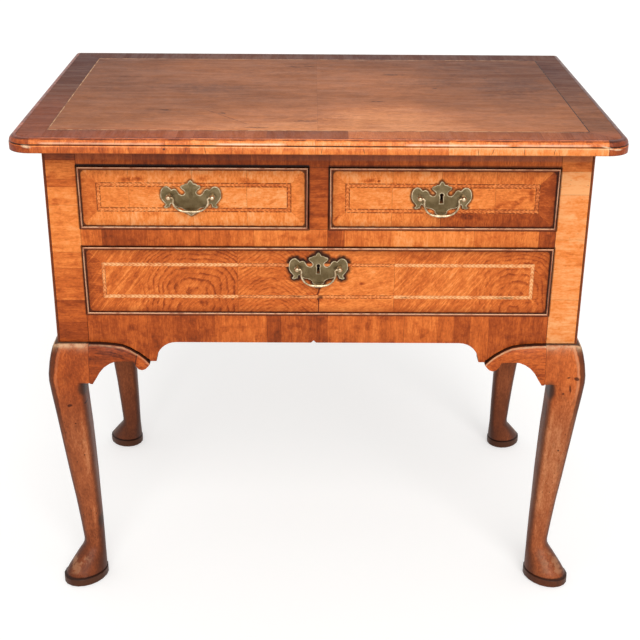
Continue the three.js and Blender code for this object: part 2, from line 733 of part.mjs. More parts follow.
function bail(drop, knob) {
  const bend = 1.5 * bailRadius;
  const pinEnd = postSpacing / 2 + pinPast - bailHalfSpan;
  const bendMiddle = bend * (1 - Math.SQRT1_2);
  const half = [[pinEnd, 0], [2 * bend, 0], [bend, 0], [bendMiddle, -bendMiddle], [0, -bend]]
    .map(([across, up]) => [bailHalfSpan + across, up]);
  half.push(...bailShares.map(([across, up]) => [across * bailHalfSpan, up * drop]));
  const centreline = [...half, [0, -drop], ...[...half].reverse().map(([across, up]) => [-across, up])];
  const rings = centreline.map(([across, up], index) => {
    const [backX, backZ] = centreline[Math.max(index - 1, 0)];
    const [nextX, nextZ] = centreline[Math.min(index + 1, centreline.length - 1)];
    const run = new THREE.Vector2(nextX - backX, nextZ - backZ).normalize();
    const swell = Math.max(0, 1 - Math.abs(across) / (bailHalfSpan / 2)) * (up < 0 ? 1 : 0);
    const radius = bailRadius + bailSwell * swell;
    return Array.from({ length: tubeSides }, (_, side) => {
      const turn = (2 * Math.PI * side) / tubeSides;
      const sideways = radius * Math.cos(turn);
      return new THREE.Vector3(
        knob.x + across - run.y * sideways, knob.y + radius * Math.sin(turn), knob.z + up + run.x * sideways);
    });
  });
  return loft(rings);
}

// Post: knob, neck, collar and shank turned about Y, with a square nut behind the drawer front
function handlePost(knob, inboardSign) {
  const plateFront = drawerFace - jointGap - plateThickness;
  const collarFront = plateFront - jointGap - collarThickness;
  const nutFront = drawerFace + frontThickness + jointGap;
  const end = nutFront + nutThickness + shankTail;
  const turned = [];
  for (let step = 0; step <= curveSteps; step += 1) {
    const turn = (step / curveSteps) * (Math.PI - Math.asin(neckRadius / knobRadius));
    turned.push([knobRadius * Math.sin(turn), knob.y - knobRadius * Math.cos(turn)]);
  }
  turned.push([neckRadius, collarFront], [collarRadius, collarFront], [collarRadius, plateFront - jointGap],
    [shankRadius, plateFront - jointGap], [shankRadius, end], [0, end]);
  const lathe = new THREE.LatheGeometry(
    turned.map(([radius, y]) => new THREE.Vector2(radius, y)), turnedSides);
  lathe.translate(knob.x, 0, -knob.z);
  lathe.applyMatrix4(new THREE.Matrix4().makeBasis(
    new THREE.Vector3(1, 0, 0), new THREE.Vector3(0, 1, 0), new THREE.Vector3(0, 0, -1)));
  const flipped = lathe.index.array;
  for (let face = 0; face < flipped.length; face += 3) {
    [flipped[face + 1], flipped[face + 2]] = [flipped[face + 2], flipped[face + 1]];
  }
  const nut = block([knob.x - nutWidth / 2, knob.x + nutWidth / 2], [nutFront, nutFront + nutThickness],
    [knob.z - nutWidth / 2, knob.z + nutWidth / 2]);
  const boreStart = knob.x + inboardSign * (knobRadius + cutOverrun);
  const boreStop = knob.x - inboardSign * (pinPast + boreEnd);
  const bore = prism('x', circleOutline(knob.y, knob.z, boreRadius, tubeSides),
    [boreStart, boreStop].sort((a, b) => a - b));
  return cut(join(lathe, nut), bore);
}

// A drawer: front with cockbead, sides, back, bottom, handle and, where it has one, a lock
function drawer({ name, left, right, bottom, top, tails, handleX, handleZ, drop, locked }) {
  const middle = (left + right) / 2;
  const half = (right - left) / 2;
  const frontRear = drawerFace + frontThickness;
  const rear = backFace - backClearance;
  const sideTop = top - sideDrop;
  const boardLow = bottom + bottomLift;
  const boardHigh = boardLow + bottomThickness;
  const backLow = boardHigh + jointGap;
  const backHigh = sideTop - backDrop;
  const innerHalf = half - boardThickness;
  const beadInset = beadWidth + jointGap;
  const handle = { x: handleX, y: drawerFace - jointGap - plateThickness - knobOffset, z: handleZ };
  const knobXs = [[leftSign, handleX - postSpacing / 2], [rightSign, handleX + postSpacing / 2]];

  const frontTails = tailPoints(tails, [bottom, sideTop], 0);
  const rearTails = tailPoints(tails, [backLow, backHigh], 0);

  // Front: a core with a rebate round it for the bead
  const core = join(
    block([left, right], [drawerFace + beadDepth, frontRear], [bottom, top]),
    block([left + beadInset, right - beadInset], [drawerFace, frontRear - beadDepth],
      [bottom + beadInset, top - beadInset]));
  const cutters = [];
  for (const [sign, edge] of [[leftSign, left], [rightSign, right]]) {
    for (const tail of tailPoints(tails, [bottom, sideTop], jointGap)) {
      const overrun = [[-cutOverrun, tail[3][1]], [-cutOverrun, tail[0][1]]];
      cutters.push(prism('x', [...tail, ...overrun].map(([past, height]) => [frontRear - past, height]),
        inward(edge, sign, -cutOverrun, boardThickness + jointGap)));
    }
  }
  const grooveHalf = innerHalf + grooveBite + jointGap;
  cutters.push(block([middle - grooveHalf, middle + grooveHalf],
    [frontRear - grooveBite - jointGap, frontRear + cutOverrun],
    [boardLow - jointGap, boardHigh + jointGap]));
  for (const [, knobX] of knobXs) {
    cutters.push(prism('y', circleOutline(knobX, handleZ, holeRadius, holeSides),
      [drawerFace - cutOverrun, frontRear + cutOverrun]));
  }
  const lockLow = handleZ - lockBelow;
  const lockHigh = top - beadWidth - drawerLift;
  if (locked) {
    cutters.push(prism('y', keyholeOutline(handleX, handleZ),
      [drawerFace - cutOverrun, frontRear + cutOverrun]));
    cutters.push(block([handleX - lockWidth / 2 - jointGap, handleX + lockWidth / 2 + jointGap],
      [frontRear - lockDepth - jointGap, frontRear + cutOverrun], [lockLow - jointGap, lockHigh + jointGap]));
  }
  addPiece(`${name}_front`, cut(core, ...cutters), VENEER);

  // Cockbead: a mitred frame round the front, its nose rounded
  const ring = asShape([[left, bottom], [right, bottom], [right, top], [left, top]]);
  ring.holes.push(asPath([[left + beadWidth, bottom + beadWidth], [left + beadWidth, top - beadWidth],
    [right - beadWidth, top - beadWidth], [right - beadWidth, bottom + beadWidth]]));
  addPiece(`${name}_cockbead`, prism('y', ring,
    [drawerFace - beadProud, drawerFace + beadDepth - jointGap],
    { bevelEnabled: true, bevelThickness: beadRound, bevelSize: beadRound, bevelOffset: -beadRound,
      bevelSegments: 2 }), WALNUT);

  // Sides, with tails at both ends and a groove for the bottom
  const outline = [[frontRear, bottom]];
  for (const tail of frontTails) outline.push(...tail.map(([past, height]) => [frontRear - past, height]));
  outline.push([frontRear, sideTop], [rear - boardThickness, sideTop]);
  outline.push([rear - boardThickness, backHigh]);
  for (const tail of [...rearTails].reverse()) {
    outline.push(...[...tail].reverse().map(([past, height]) => [rear - boardThickness + past, height]));
  }
  outline.push([rear - boardThickness, backLow - jointGap], [rear, backLow - jointGap], [rear, bottom]);
  for (const [side, sign, edge] of [['left', leftSign, left], ['right', rightSign, right]]) {
    const board = prism('x', [...outline].reverse(), inward(edge, sign, 0, boardThickness));
    const groove = block(inward(edge, sign, boardThickness - grooveBite, boardThickness + cutOverrun),
      [frontRear - grooveBite - jointGap, rear + cutOverrun], [boardLow - jointGap, boardHigh + jointGap]);
    addPiece(`${name}_${side}_side`, cut(board, groove), OAK);
  }

  // Back, with sockets for the sides' tails, over the bottom board
  const backCutters = [];
  for (const [sign, edge] of [[leftSign, left], [rightSign, right]]) {
    for (const tail of tailPoints(tails, [backLow, backHigh], jointGap)) {
      const overrun = [[tailLength + cutOverrun, tail[2][1]], [tailLength + cutOverrun, tail[1][1]]];
      const points = [tail[0], tail[1], overrun[1], overrun[0], tail[2], tail[3]];
      const start = [[-cutOverrun, tail[3][1]], [-cutOverrun, tail[0][1]]];
      backCutters.push(prism('x', [...points, ...start]
        .map(([past, height]) => [rear - boardThickness + past, height]),
      inward(edge, sign, -cutOverrun, boardThickness + jointGap)));
    }
  }
  addPiece(`${name}_back`, cut(block([left, right], [rear - boardThickness + jointGap, rear],
    [backLow, backHigh]), ...backCutters), OAK);
  const bottomHalf = innerHalf + grooveBite - jointGap;
  addPiece(`${name}_bottom`, block([middle - bottomHalf, middle + bottomHalf],
    [frontRear - grooveBite, rear], [boardLow, boardHigh]), PINE);

  // Handle
  const plate = asShape(backplateOutline(handleX, handleZ));
  for (const [, knobX] of knobXs) {
    plate.holes.push(asPath(circleOutline(knobX, handleZ, holeRadius, holeSides).reverse()));
  }
  if (locked) plate.holes.push(asPath(keyholeOutline(handleX, handleZ).reverse()));
  addPiece(`${name}_backplate`, prism('y', plate,
    [drawerFace - jointGap - plateThickness, drawerFace - jointGap]), BRASS);
  addPiece(`${name}_bail`, bail(drop, handle), BRASS);
  for (const [sign, knobX] of knobXs) {
    const side = sign === leftSign ? 'left' : 'right';
    addPiece(`${name}_${side}_post`, handlePost({ ...handle, x: knobX }, -sign), BRASS);
  }

  // Lock let into the back of the front, under a wider plate
  if (locked) {
    const caseBlock = block([handleX - lockWidth / 2, handleX + lockWidth / 2],
      [frontRear - lockDepth, frontRear + lockPlateThickness], [lockLow, lockHigh]);
    const coverPlate = block([handleX - lockPlateWidth / 2, handleX + lockPlateWidth / 2],
      [frontRear + jointGap, frontRear + jointGap + lockPlateThickness],
      [lockLow - jointGap, lockHigh - jointGap]);
    const key = prism('y', keyholeOutline(handleX, handleZ),
      [frontRear - lockDepth - cutOverrun, frontRear - lockPlateThickness]);
    addPiece(`${name}_lock`, cut(join(caseBlock, coverPlate), key), STEEL);
  }
}

const smallInner = dividerWidth / 2 + drawerSideGap;
const drawerOuter = openingHalf - drawerSideGap;
const smallMiddle = (smallInner + drawerOuter) / 2;
const smallHeights = { bottom: smallOpeningBottom + drawerLift, top: smallOpeningTop - drawerTopGap };
const smallHandleZ = (smallOpeningBottom + smallOpeningTop) / 2 + smallHandleRise;
drawer({
  name: 'left_drawer', left: -drawerOuter, right: -smallInner, ...smallHeights, tails: 3,
  handleX: -smallMiddle - leftHandleShift, handleZ: smallHandleZ, drop: shallowBailDrop, locked: false,
});
drawer({
  name: 'right_drawer', left: smallInner, right: drawerOuter, ...smallHeights, tails: 3,
  handleX: smallMiddle - leftHandleShift, handleZ: smallHandleZ, drop: bailDrop, locked: true,
});
drawer({
  name: 'long_drawer', left: -drawerOuter, right: drawerOuter,
  bottom: longOpeningBottom + drawerLift, top: longOpeningTop - drawerTopGap, tails: 3,
  handleX: 0, handleZ: (longOpeningBottom + longOpeningTop) / 2 + handleRise, drop: bailDrop, locked: true,
});

export default lowboy;
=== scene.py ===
import math

import bpy
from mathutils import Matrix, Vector
from mathutils.bvhtree import BVHTree


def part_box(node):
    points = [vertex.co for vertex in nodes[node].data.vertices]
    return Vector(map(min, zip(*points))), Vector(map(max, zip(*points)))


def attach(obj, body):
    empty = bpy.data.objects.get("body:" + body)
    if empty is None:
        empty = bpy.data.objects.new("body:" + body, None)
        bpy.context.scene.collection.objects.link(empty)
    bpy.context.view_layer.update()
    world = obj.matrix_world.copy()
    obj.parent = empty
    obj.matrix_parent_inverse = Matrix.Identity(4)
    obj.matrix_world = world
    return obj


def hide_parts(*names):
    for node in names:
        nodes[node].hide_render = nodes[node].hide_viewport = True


# Walnut lowboy, seen from the front and a little above. Metres, front towards -Y.
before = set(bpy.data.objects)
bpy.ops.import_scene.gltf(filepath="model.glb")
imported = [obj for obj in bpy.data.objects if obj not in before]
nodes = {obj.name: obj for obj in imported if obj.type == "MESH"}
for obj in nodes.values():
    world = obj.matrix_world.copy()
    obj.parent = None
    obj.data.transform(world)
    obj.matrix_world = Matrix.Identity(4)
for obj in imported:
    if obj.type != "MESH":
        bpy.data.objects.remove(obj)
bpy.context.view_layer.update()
scene = bpy.context.scene
tree = None
mm = 0.001
topHeight = 0.706
frontPlane = -0.218
panelEdge = 0.0006
beadGap = 0.0035


# Node helpers: all of them work on the tree that was made last
def feed(socket, value):
    if isinstance(value, bpy.types.NodeSocket):
        tree.links.new(value, socket)
    else:
        socket.default_value = value


def put(kind, feeds=None, **settings):
    made = tree.nodes.new("ShaderNode" + kind)
    for name, value in settings.items():
        setattr(made, name, value)
    for name, value in (feeds or {}).items():
        feed(made.inputs[name], value)
    return made


def fill(made, values):
    for socket, value in zip(made.inputs, values):
        feed(socket, value)
    return made.outputs


def calc(operation, *values, clamp=False):
    return fill(put("Math", operation=operation, use_clamp=clamp), values)[0]


def vectorCalc(operation, *values):
    return fill(put("VectorMath", operation=operation), values)[1 if operation == "LENGTH" else 0]


def times(*masks):
    product = masks[0]
    for mask in masks[1:]:
        product = calc("MULTIPLY", product, mask)
    return product


def strongest(*masks):
    top = masks[0]
    for mask in masks[1:]:
        top = calc("MAXIMUM", top, mask)
    return top


def inverse(mask):
    return calc("SUBTRACT", 1.0, mask)


# The mask times its weight, on top of the level
def lift(mask, weight, level):
    return calc("MULTIPLY_ADD", mask, weight, level)


# The same for a pattern that swings round its middle
def sway(pattern, weight, level, middle=0.5):
    return lift(calc("SUBTRACT", pattern, middle), weight, level)


def tint(share, under, over):
    made = put("Mix", data_type="RGBA")
    for index, value in ((0, share), (6, under), (7, over)):
        feed(made.inputs[index], value)
    return made.outputs[2]


def ease(value, start, end, low=0.0, high=1.0):
    return fill(put("MapRange", interpolation_type="SMOOTHSTEP"), (value, start, end, low, high))[0]


# Rises from start to full, falls from fading to end
def between(value, start, full, end, fading):
    return times(ease(value, start, full), ease(value, end, fading))


def noise(vector, size, detail=2.0, roughness=0.5, distortion=0.0):
    lengths = size if isinstance(size, tuple) else (size, size, size)
    stretched = put("Mapping", {"Vector": vector, "Scale": [1 / length for length in lengths]})
    return put("TexNoise", {"Vector": stretched.outputs[0], "Scale": 1.0, "Detail": detail, "Roughness": roughness,
                            "Distortion": distortion}).outputs[0]


def spot(place, centre, size, turn=(0.0, 0.0, 0.0), core=0.5):
    inside = put("Mapping", {"Vector": place, "Location": centre, "Rotation": turn, "Scale": size},
                 vector_type="TEXTURE").outputs[0]
    return ease(vectorCalc("LENGTH", inside), 1.0, core)


# Spots from rows of x, height, half width, half height and turn, in millimetres and degrees
def spots(place, rows, depth, thickness, core=0.5):
    return strongest(*[spot(place, (x * mm, depth, z * mm), (wide * mm, thickness, tall * mm),
                            (0.0, math.radians(-turn), 0.0), core) for x, z, wide, tall, turn in rows])


# The same on the top, from rows of x, y and half sizes
def topSpots(place, rows, thickness, core=0.5):
    return strongest(*[spot(place, (x * mm, y * mm, topHeight), (wide * mm, long * mm, thickness), core=core)
                       for x, y, wide, long in rows])


def split(vector):
    return tuple(put("SeparateXYZ", {"Vector": vector}).outputs)


def normalParts():
    return split(put("NewGeometry").outputs["Normal"])


# A number that was stored on the vertices
def stored(name):
    return put("Attribute", attribute_name=name).outputs["Fac"]


def shade(red, green, blue):
    linear = []
    for level in (red, green, blue):
        share = level / 255
        linear.append(share / 12.92 if share <= 0.04045 else ((share + 0.055) / 1.055) ** 2.4)
    return (*linear, 1.0)


def ramp(value, stops):
    made = put("ValToRGB", {"Fac": value})
    marks = made.color_ramp.elements
    while len(marks) < len(stops):
        marks.new(0.5)
    for mark, (place, colour) in zip(marks, stops):
        mark.position = place
        mark.color = shade(*colour)
    return made.outputs[0]


# Each layer is a mask and the colour that it brings
def layered(base, layers):
    for share, over in layers:
        base = tint(share, base, shade(*over) if isinstance(over, tuple) else over)
    return base


def newGroup(name, takes, gives):
    global tree
    group = tree = bpy.data.node_groups.new(name, "ShaderNodeTree")
    for label, kind, value in takes:
        socket = group.interface.new_socket(name=label, in_out="INPUT", socket_type="NodeSocket" + kind)
        if value is not None:
            socket.default_value = value
    for label, kind in gives:
        group.interface.new_socket(name=label, in_out="OUTPUT", socket_type="NodeSocket" + kind)
    entry = group.nodes.new("NodeGroupInput")
    leave = group.nodes.new("NodeGroupOutput")
    return group, entry.outputs, leave.inputs


def useGroup(group, feeds):
    made = tree.nodes.new("ShaderNodeGroup")
    made.node_tree = group
    for name, value in feeds.items():
        feed(made.inputs[name], value)
    return made.outputs


# Shared effects
def makeGrain():
    group, takes, gives = newGroup("woodGrain", [
        ("Vector", "Vector", None), ("Seed", "Float", 0.0), ("Turn", "Float", 0.0),
        ("Axis", "Vector", (0.0, 1.0, 0.0)), ("Speck Pitch", "Float", 1.4)], [
        ("Figure", "Float"), ("Fibre", "Float"), ("Mottle", "Float"), ("Fleck", "Float"), ("Speck", "Float")])
    turned = put("VectorRotate", {"Vector": takes["Vector"], "Axis": takes["Axis"], "Angle": takes["Turn"]},
                 rotation_type="AXIS_ANGLE")
    apart = vectorCalc("SCALE", (3.1, 1.7, 5.3))
    feed(apart.node.inputs["Scale"], takes["Seed"])
    wood = vectorCalc("ADD", turned.outputs[0], apart)
    broad = noise(wood, (0.1, 0.015, 0.015), 3.0, 0.55, 0.7)
    narrow = noise(wood, (0.028, 0.0034, 0.0034), 2.0, 0.6, 0.6)
    fibre = noise(wood, (0.01, 0.0009, 0.0009), 2.0, 0.6)
    mottle = noise(wood, (0.018, 0.012, 0.012), 4.0, 0.65, 0.5)
    fleck = noise(wood, (0.0046, 0.0024, 0.0024), 2.0, 0.65)
    figure = lift(narrow, 0.4, times(broad, 0.6))
    feed(gives["Figure"], ease(figure, 0.3, 0.7))
    feed(gives["Fibre"], ease(fibre, 0.35, 0.7))
    feed(gives["Mottle"], ease(mottle, 0.3, 0.7))
    feed(gives["Fleck"], ease(fleck, 0.3, 0.7))
    closer = vectorCalc("SCALE", wood)
    feed(closer.node.inputs["Scale"], takes["Speck Pitch"])
    cells = put("Mapping", {"Vector": closer, "Scale": (120.0, 210.0, 210.0)}).outputs[0]
    dots = put("TexVoronoi", {"Vector": cells, "Scale": 1.0}, feature="F1")
    picked = put("SeparateColor", {"Color": dots.outputs["Color"]}).outputs
    rounded = ease(dots.outputs["Distance"], lift(picked[1], 0.14, 0.08), 0.04)
    feed(gives["Speck"], times(rounded, calc("GREATER_THAN", picked[0], 0.6)))
    return group


def makeSeams():
    group, takes, gives = newGroup("leafSeams", [("Vector", "Vector", None), ("Width", "Float", 0.0005)],
                                   [("Line", "Float")])
    sides = split(put("UVMap", uv_map="seam").outputs[0])
    nearest = calc("MINIMUM", sides[0], sides[1])
    ragged = noise(takes["Vector"], 0.004, 2.0, 0.6)
    reach = times(takes["Width"], lift(ragged, 1.6, -0.2))
    line = inverse(ease(nearest, times(reach, 0.5), reach))
    faded = ease(noise(takes["Vector"], 0.02, 1.0, 0.5), 0.3, 0.5, 0.25, 1.0)
    feed(gives["Line"], times(line, faded))
    return group


def makeFrameReach():
    group, takes, gives = newGroup("frameReach", [
        ("Vector", "Vector", None), ("Half X", "Float", 0.1), ("Half Z", "Float", 0.03),
        ("Round", "Float", 0.008), ("Ragged", "Float", 0.001)], [("Past", "Float")])
    x, z = split(takes["Vector"])[::2]
    outX = calc("ADD", calc("SUBTRACT", calc("ABSOLUTE", x), takes["Half X"]), takes["Round"])
    outZ = calc("ADD", calc("SUBTRACT", calc("ABSOLUTE", z), takes["Half Z"]), takes["Round"])
    corner = put("CombineXYZ", {"X": strongest(outX, 0.0), "Y": strongest(outZ, 0.0)})
    outside = vectorCalc("LENGTH", corner.outputs[0])
    inside = calc("MINIMUM", strongest(outX, outZ), 0.0)
    past = calc("SUBTRACT", calc("ADD", outside, inside), takes["Round"])
    patchy = noise(takes["Vector"], 0.009, 3.0, 0.6)
    shifted = times(calc("SUBTRACT", patchy, 0.5), takes["Ragged"])
    feed(gives["Past"], lift(shifted, 4.0, past))
    return group


grain = makeGrain()
seams = makeSeams()
frameReach = makeFrameReach()
print("shared effects ready")


# Each wood from its darkest to its palest, and the directions that grain takes
walnutStops = [(0.0, (92, 36, 14)), (0.31, (160, 70, 26)), (0.54, (208, 103, 42)), (0.77, (246, 141, 66)),
               (1.0, (255, 179, 116))]
topStops = [(0.0, (76, 28, 10)), (0.25, (108, 58, 30)), (0.47, (148, 86, 47)), (0.68, (187, 113, 67)),
            (0.84, (220, 142, 89)), (1.0, (236, 165, 111))]
legStops = [(0.0, (66, 28, 12)), (0.35, (126, 62, 32)), (0.6, (168, 90, 50)), (1.0, (224, 150, 100))]
oakStops = [(0.0, (84, 50, 28)), (0.4, (140, 92, 54)), (0.7, (176, 124, 78)), (1.0, (206, 156, 106))]
pineStops = [(0.0, (96, 64, 34)), (0.4, (142, 100, 58)), (0.7, (172, 128, 80)), (1.0, (200, 160, 108))]
darkBrown = (30, 15, 8)
frontAxis = (0.0, 1.0, 0.0)
topAxis = (0.0, 0.0, 1.0)
upright = math.radians(90)


def newMaterial(name, roughness, specular=0.5, metallic=0.0):
    global tree
    material = bpy.data.materials.new(name)
    material.use_nodes = True
    tree = material.node_tree
    surface = tree.nodes["Principled BSDF"].inputs
    for socket, value in (("Roughness", roughness), ("Specular IOR Level", specular), ("Metallic", metallic)):
        surface[socket].default_value = value
    return material, surface


def objectPlace(centre=(0.0, 0.0, 0.0)):
    place = put("TexCoord").outputs["Object"]
    if any(centre):
        place = put("Mapping", {"Vector": place, "Location": [-part for part in centre]}).outputs[0]
    return place


def paint(surface, base, roughness, height, distance, strength):
    bump = put("Bump", {"Height": height, "Distance": distance, "Strength": strength})
    for socket, value in (("Base Color", base), ("Roughness", roughness), ("Normal", bump.outputs[0])):
        feed(surface[socket], value)


def leafValues():
    leaf = put("Attribute", attribute_name="leaf")
    return put("SeparateColor", {"Color": leaf.outputs["Color"]}).outputs


# Adds the grain to the tone; extras can change the level and lay colours over the wood
def paintWood(surface, place, wood, stops, tone, roughness, look, extras, seam=None):
    level = sway(wood["Figure"], look["spread"], tone)
    level = sway(wood["Mottle"], look["mottled"], level)
    level = sway(wood["Fibre"], -0.08, level, 0.4)
    level = sway(wood["Fleck"], look["flecked"], level)
    level, layers = extras(place, level) if extras else (level, ())
    base = layered(ramp(level, stops), [(times(wood["Speck"], look["dots"]), look["dotColour"])])
    relief, distance = times(wood["Fibre"], -1.0), 0.0001
    if seam:
        base = layered(base, [(times(seam, 0.5), (70, 24, 8))])
        relief, distance = lift(wood["Fibre"], -0.5, times(seam, -1.0)), 0.00012
    paint(surface, layered(base, layers), ease(wood["Figure"], 0.0, 1.0, roughness + 0.08, roughness - 0.05),
          relief, distance, 0.5)


# A veneered surface: tone, seed and turn come with each leaf
def veneer(name, stops, axis, roughness, specular, spread=0.16, mottled=0.18, flecked=0.13, extras=None):
    material, surface = newMaterial(name, roughness, specular)
    place = objectPlace()
    tone, seed, turn = leafValues()
    wood = useGroup(grain, {"Vector": place, "Seed": seed, "Turn": turn, "Axis": axis})
    look = {"spread": spread, "mottled": mottled, "flecked": flecked, "dots": 0.5, "dotColour": (70, 22, 6)}
    paintWood(surface, place, wood, stops, tone, roughness, look, extras, useGroup(seams, {"Vector": place})["Line"])
    return material


# Solid wood: the same grain with one tone
def solidWood(name, stops, along, roughness, specular, tone, spread=0.2, mottled=0.2, flecked=0.16, dots=0.6,
              dotPitch=1.0, extras=None):
    material, surface = newMaterial(name, roughness, specular)
    place = objectPlace()
    turned = {"x": (0.0, 0.0, 0.0), "y": (0.0, 0.0, upright), "z": (0.0, upright, 0.0)}[along]
    wood = useGroup(grain, {"Vector": put("Mapping", {"Vector": place, "Rotation": turned}).outputs[0],
                            "Speck Pitch": dotPitch})
    look = {"spread": spread, "mottled": mottled, "flecked": flecked, "dots": dots, "dotColour": darkBrown}
    paintWood(surface, place, wood, stops, tone, roughness, look, extras)
    return material


# Modelling helpers
def pick(piece):
    bpy.ops.object.select_all(action="DESELECT")
    piece.select_set(True)
    bpy.context.view_layer.objects.active = piece


def startEdit(piece, action=None):
    pick(piece)
    bpy.ops.object.mode_set(mode="EDIT")
    bpy.ops.mesh.select_mode(type="FACE")
    if action:
        bpy.ops.mesh.select_all(action=action)


def endEdit():
    bpy.ops.object.mode_set(mode="OBJECT")


def copyNode(nodeName, pieceName, flatness=0.5):
    piece = bpy.data.objects.new(pieceName, nodes[nodeName].data.copy())
    scene.collection.objects.link(piece)
    piece.data.materials.clear()
    pick(piece)
    bpy.ops.mesh.customdata_custom_splitnormals_clear()
    startEdit(piece, "SELECT")
    bpy.ops.mesh.remove_doubles(threshold=0.000002)
    bpy.ops.mesh.dissolve_limited(angle_limit=math.radians(flatness))
    endEdit()
    return piece


def applyModifier(piece, kind, **settings):
    modifier = piece.modifiers.new(kind.lower(), kind)
    for name, value in settings.items():
        setattr(modifier, name, value)
    pick(piece)
    bpy.ops.object.modifier_apply(modifier=modifier.name)


def softenEdges(piece, width, angle=30):
    applyModifier(piece, "BEVEL", width=width, segments=2, limit_method="ANGLE", angle_limit=math.radians(angle))


def cutThrough(piece, planes):
    startEdit(piece)
    for place, normal in planes:
        bpy.ops.mesh.select_all(action="SELECT")
        bpy.ops.mesh.bisect(plane_co=place, plane_no=normal)
    endEdit()


def across(axis, places):
    normal = tuple(1.0 if index == axis else 0.0 for index in range(3))
    return [(tuple(place * mm if index == axis else 0.0 for index in range(3)), normal) for place in places]


# leafOf(centre, normal) gives material slot, tone, seed, turn and the two distances to the joints
def markLeaves(piece, leafOf):
    mesh = piece.data
    slots, leaves, places = [], [], []
    for face in mesh.polygons:
        slot, tone, seed, turn, measure = leafOf(face.center, face.normal)
        slots.append(slot)
        leaves.extend((tone, seed, turn, 1.0))
        for corner in face.vertices:
            places.extend(measure(mesh.vertices[corner].co))
    mesh.attributes.new("leaf", "FLOAT_COLOR", "FACE")
    mesh.uv_layers.new(name="seam")
    mesh.polygons.foreach_set("material_index", slots)
    mesh.attributes["leaf"].data.foreach_set("color", leaves)
    mesh.uv_layers["seam"].data.foreach_set("uv", places)


# A face without joints
def plainLeaf(slot, tone, seed=0.0):
    return slot, tone, seed, 0.0, lambda co: (1.0, 1.0)


# Stores measure(place) on every vertex
def store(piece, name, measure):
    values = piece.data.attributes.new(name, "FLOAT", "POINT")
    values.data.foreach_set("value", [measure(vertex.co) for vertex in piece.data.vertices])


# How far each vertex lies from the outline of the plate on it
def markDistance(piece, plate):
    shape = plate.data
    hull = BVHTree.FromPolygons([vertex.co for vertex in shape.vertices], [face.vertices for face in shape.polygons])
    store(piece, "toPlate", lambda co: hull.find_nearest(co)[3])


def strips(axis, joints, tones, turn=0.0, seed=0.0):
    edges = [-9000.0, *joints, 9000.0]

    def leafOf(centre, normal):
        index = sum(1 for joint in joints if centre[axis] > joint * mm)
        low, high = edges[index] * mm, edges[index + 1] * mm
        return 0, tones[index], seed + 0.37 * index, turn, lambda co: (co[axis] - low, high - co[axis])
    return leafOf


def finish(piece, body, replaced, materials, angle=35):
    for material in materials:
        piece.data.materials.append(material)
    pick(piece)
    bpy.ops.object.shade_smooth_by_angle(angle=math.radians(angle))
    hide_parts(*replaced)
    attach(piece, body)


# Camera rays, and those that mirror or pass through, all see the plain bright background
def backdropRays():
    rays = put("LightPath").outputs
    return strongest(rays["Is Camera Ray"], rays["Is Glossy Ray"], rays["Is Transmission Ray"])


# Floor, light and camera
def setStage():
    global tree
    stage = {"floorHalf": 14.0, "floorDrop": 0.0004, "floorColour": shade(206, 205, 203), "lift": 0.47,
             "worldLow": 0.45, "worldHigh": 0.7, "sunPower": 1.8, "sunSize": 42, "sunRise": 38, "sunTurn": 8}
    bpy.ops.mesh.primitive_plane_add(size=2 * stage["floorHalf"], location=(0, 0, -stage["floorDrop"]))
    floor = bpy.context.object
    floor.name = "floor"
    material = bpy.data.materials.new("paleFloor")
    material.use_nodes = True
    tree = material.node_tree
    tree.nodes.clear()
    cloudy = noise(objectPlace(), 0.8, 2.0)
    plain = put("BsdfDiffuse", {"Color": tint(cloudy, stage["floorColour"], shade(210, 209, 207))})
    glow = put("Emission", {"Color": (1, 1, 1, 1), "Strength": times(backdropRays(), stage["lift"])})
    both = fill(put("AddShader"), (plain.outputs[0], glow.outputs[0]))
    feed(put("OutputMaterial").inputs["Surface"], both[0])
    floor.data.materials.append(material)

    world = bpy.data.worlds.new("studio")
    world.use_nodes = True
    scene.world = world
    tree = world.node_tree
    tree.nodes.clear()
    height = split(put("TexCoord").outputs["Generated"])[2]
    soft = ease(height, 0.0, 0.7, stage["worldLow"], stage["worldHigh"])
    seen = backdropRays()
    strength = lift(seen, inverse(soft), soft)
    light = put("Background", {"Color": (1, 1, 1, 1), "Strength": strength})
    feed(put("OutputWorld").inputs["Surface"], light.outputs[0])

    bpy.ops.object.light_add(type="SUN", location=(0, -2, 2))
    sun = bpy.context.object
    sun.data.energy = stage["sunPower"]
    sun.data.angle = math.radians(stage["sunSize"])
    sun.rotation_euler = (math.radians(90 - stage["sunRise"]), 0, math.radians(stage["sunTurn"]))

    view = {"lens": 69.28, "place": (-0.0128, -1.7851, 1.1368), "pitch": 0.420, "yaw": -0.010, "roll": 0.008}
    bpy.ops.object.camera_add(location=view["place"])
    camera = bpy.context.object
    camera.data.lens = view["lens"]
    camera.data.sensor_width = 36
    pitch, yaw, roll = view["pitch"], view["yaw"], view["roll"]
    forward = Vector((-math.sin(yaw) * math.cos(pitch), math.cos(yaw) * math.cos(pitch), -math.sin(pitch)))
    right = Vector((math.cos(yaw), math.sin(yaw), 0))
    up = right.cross(forward)
    sideways = right * math.cos(roll) + up * math.sin(roll)
    upright = up * math.cos(roll) - right * math.sin(roll)
    turned = camera.matrix_world.to_3x3()
    for row in range(3):
        turned[row] = (sideways[row], upright[row], -forward[row])
    camera.rotation_euler = turned.to_euler()
    scene.camera = camera
    scene.view_settings.view_transform = "Standard"


setStage()
print("floor, light and camera ready")


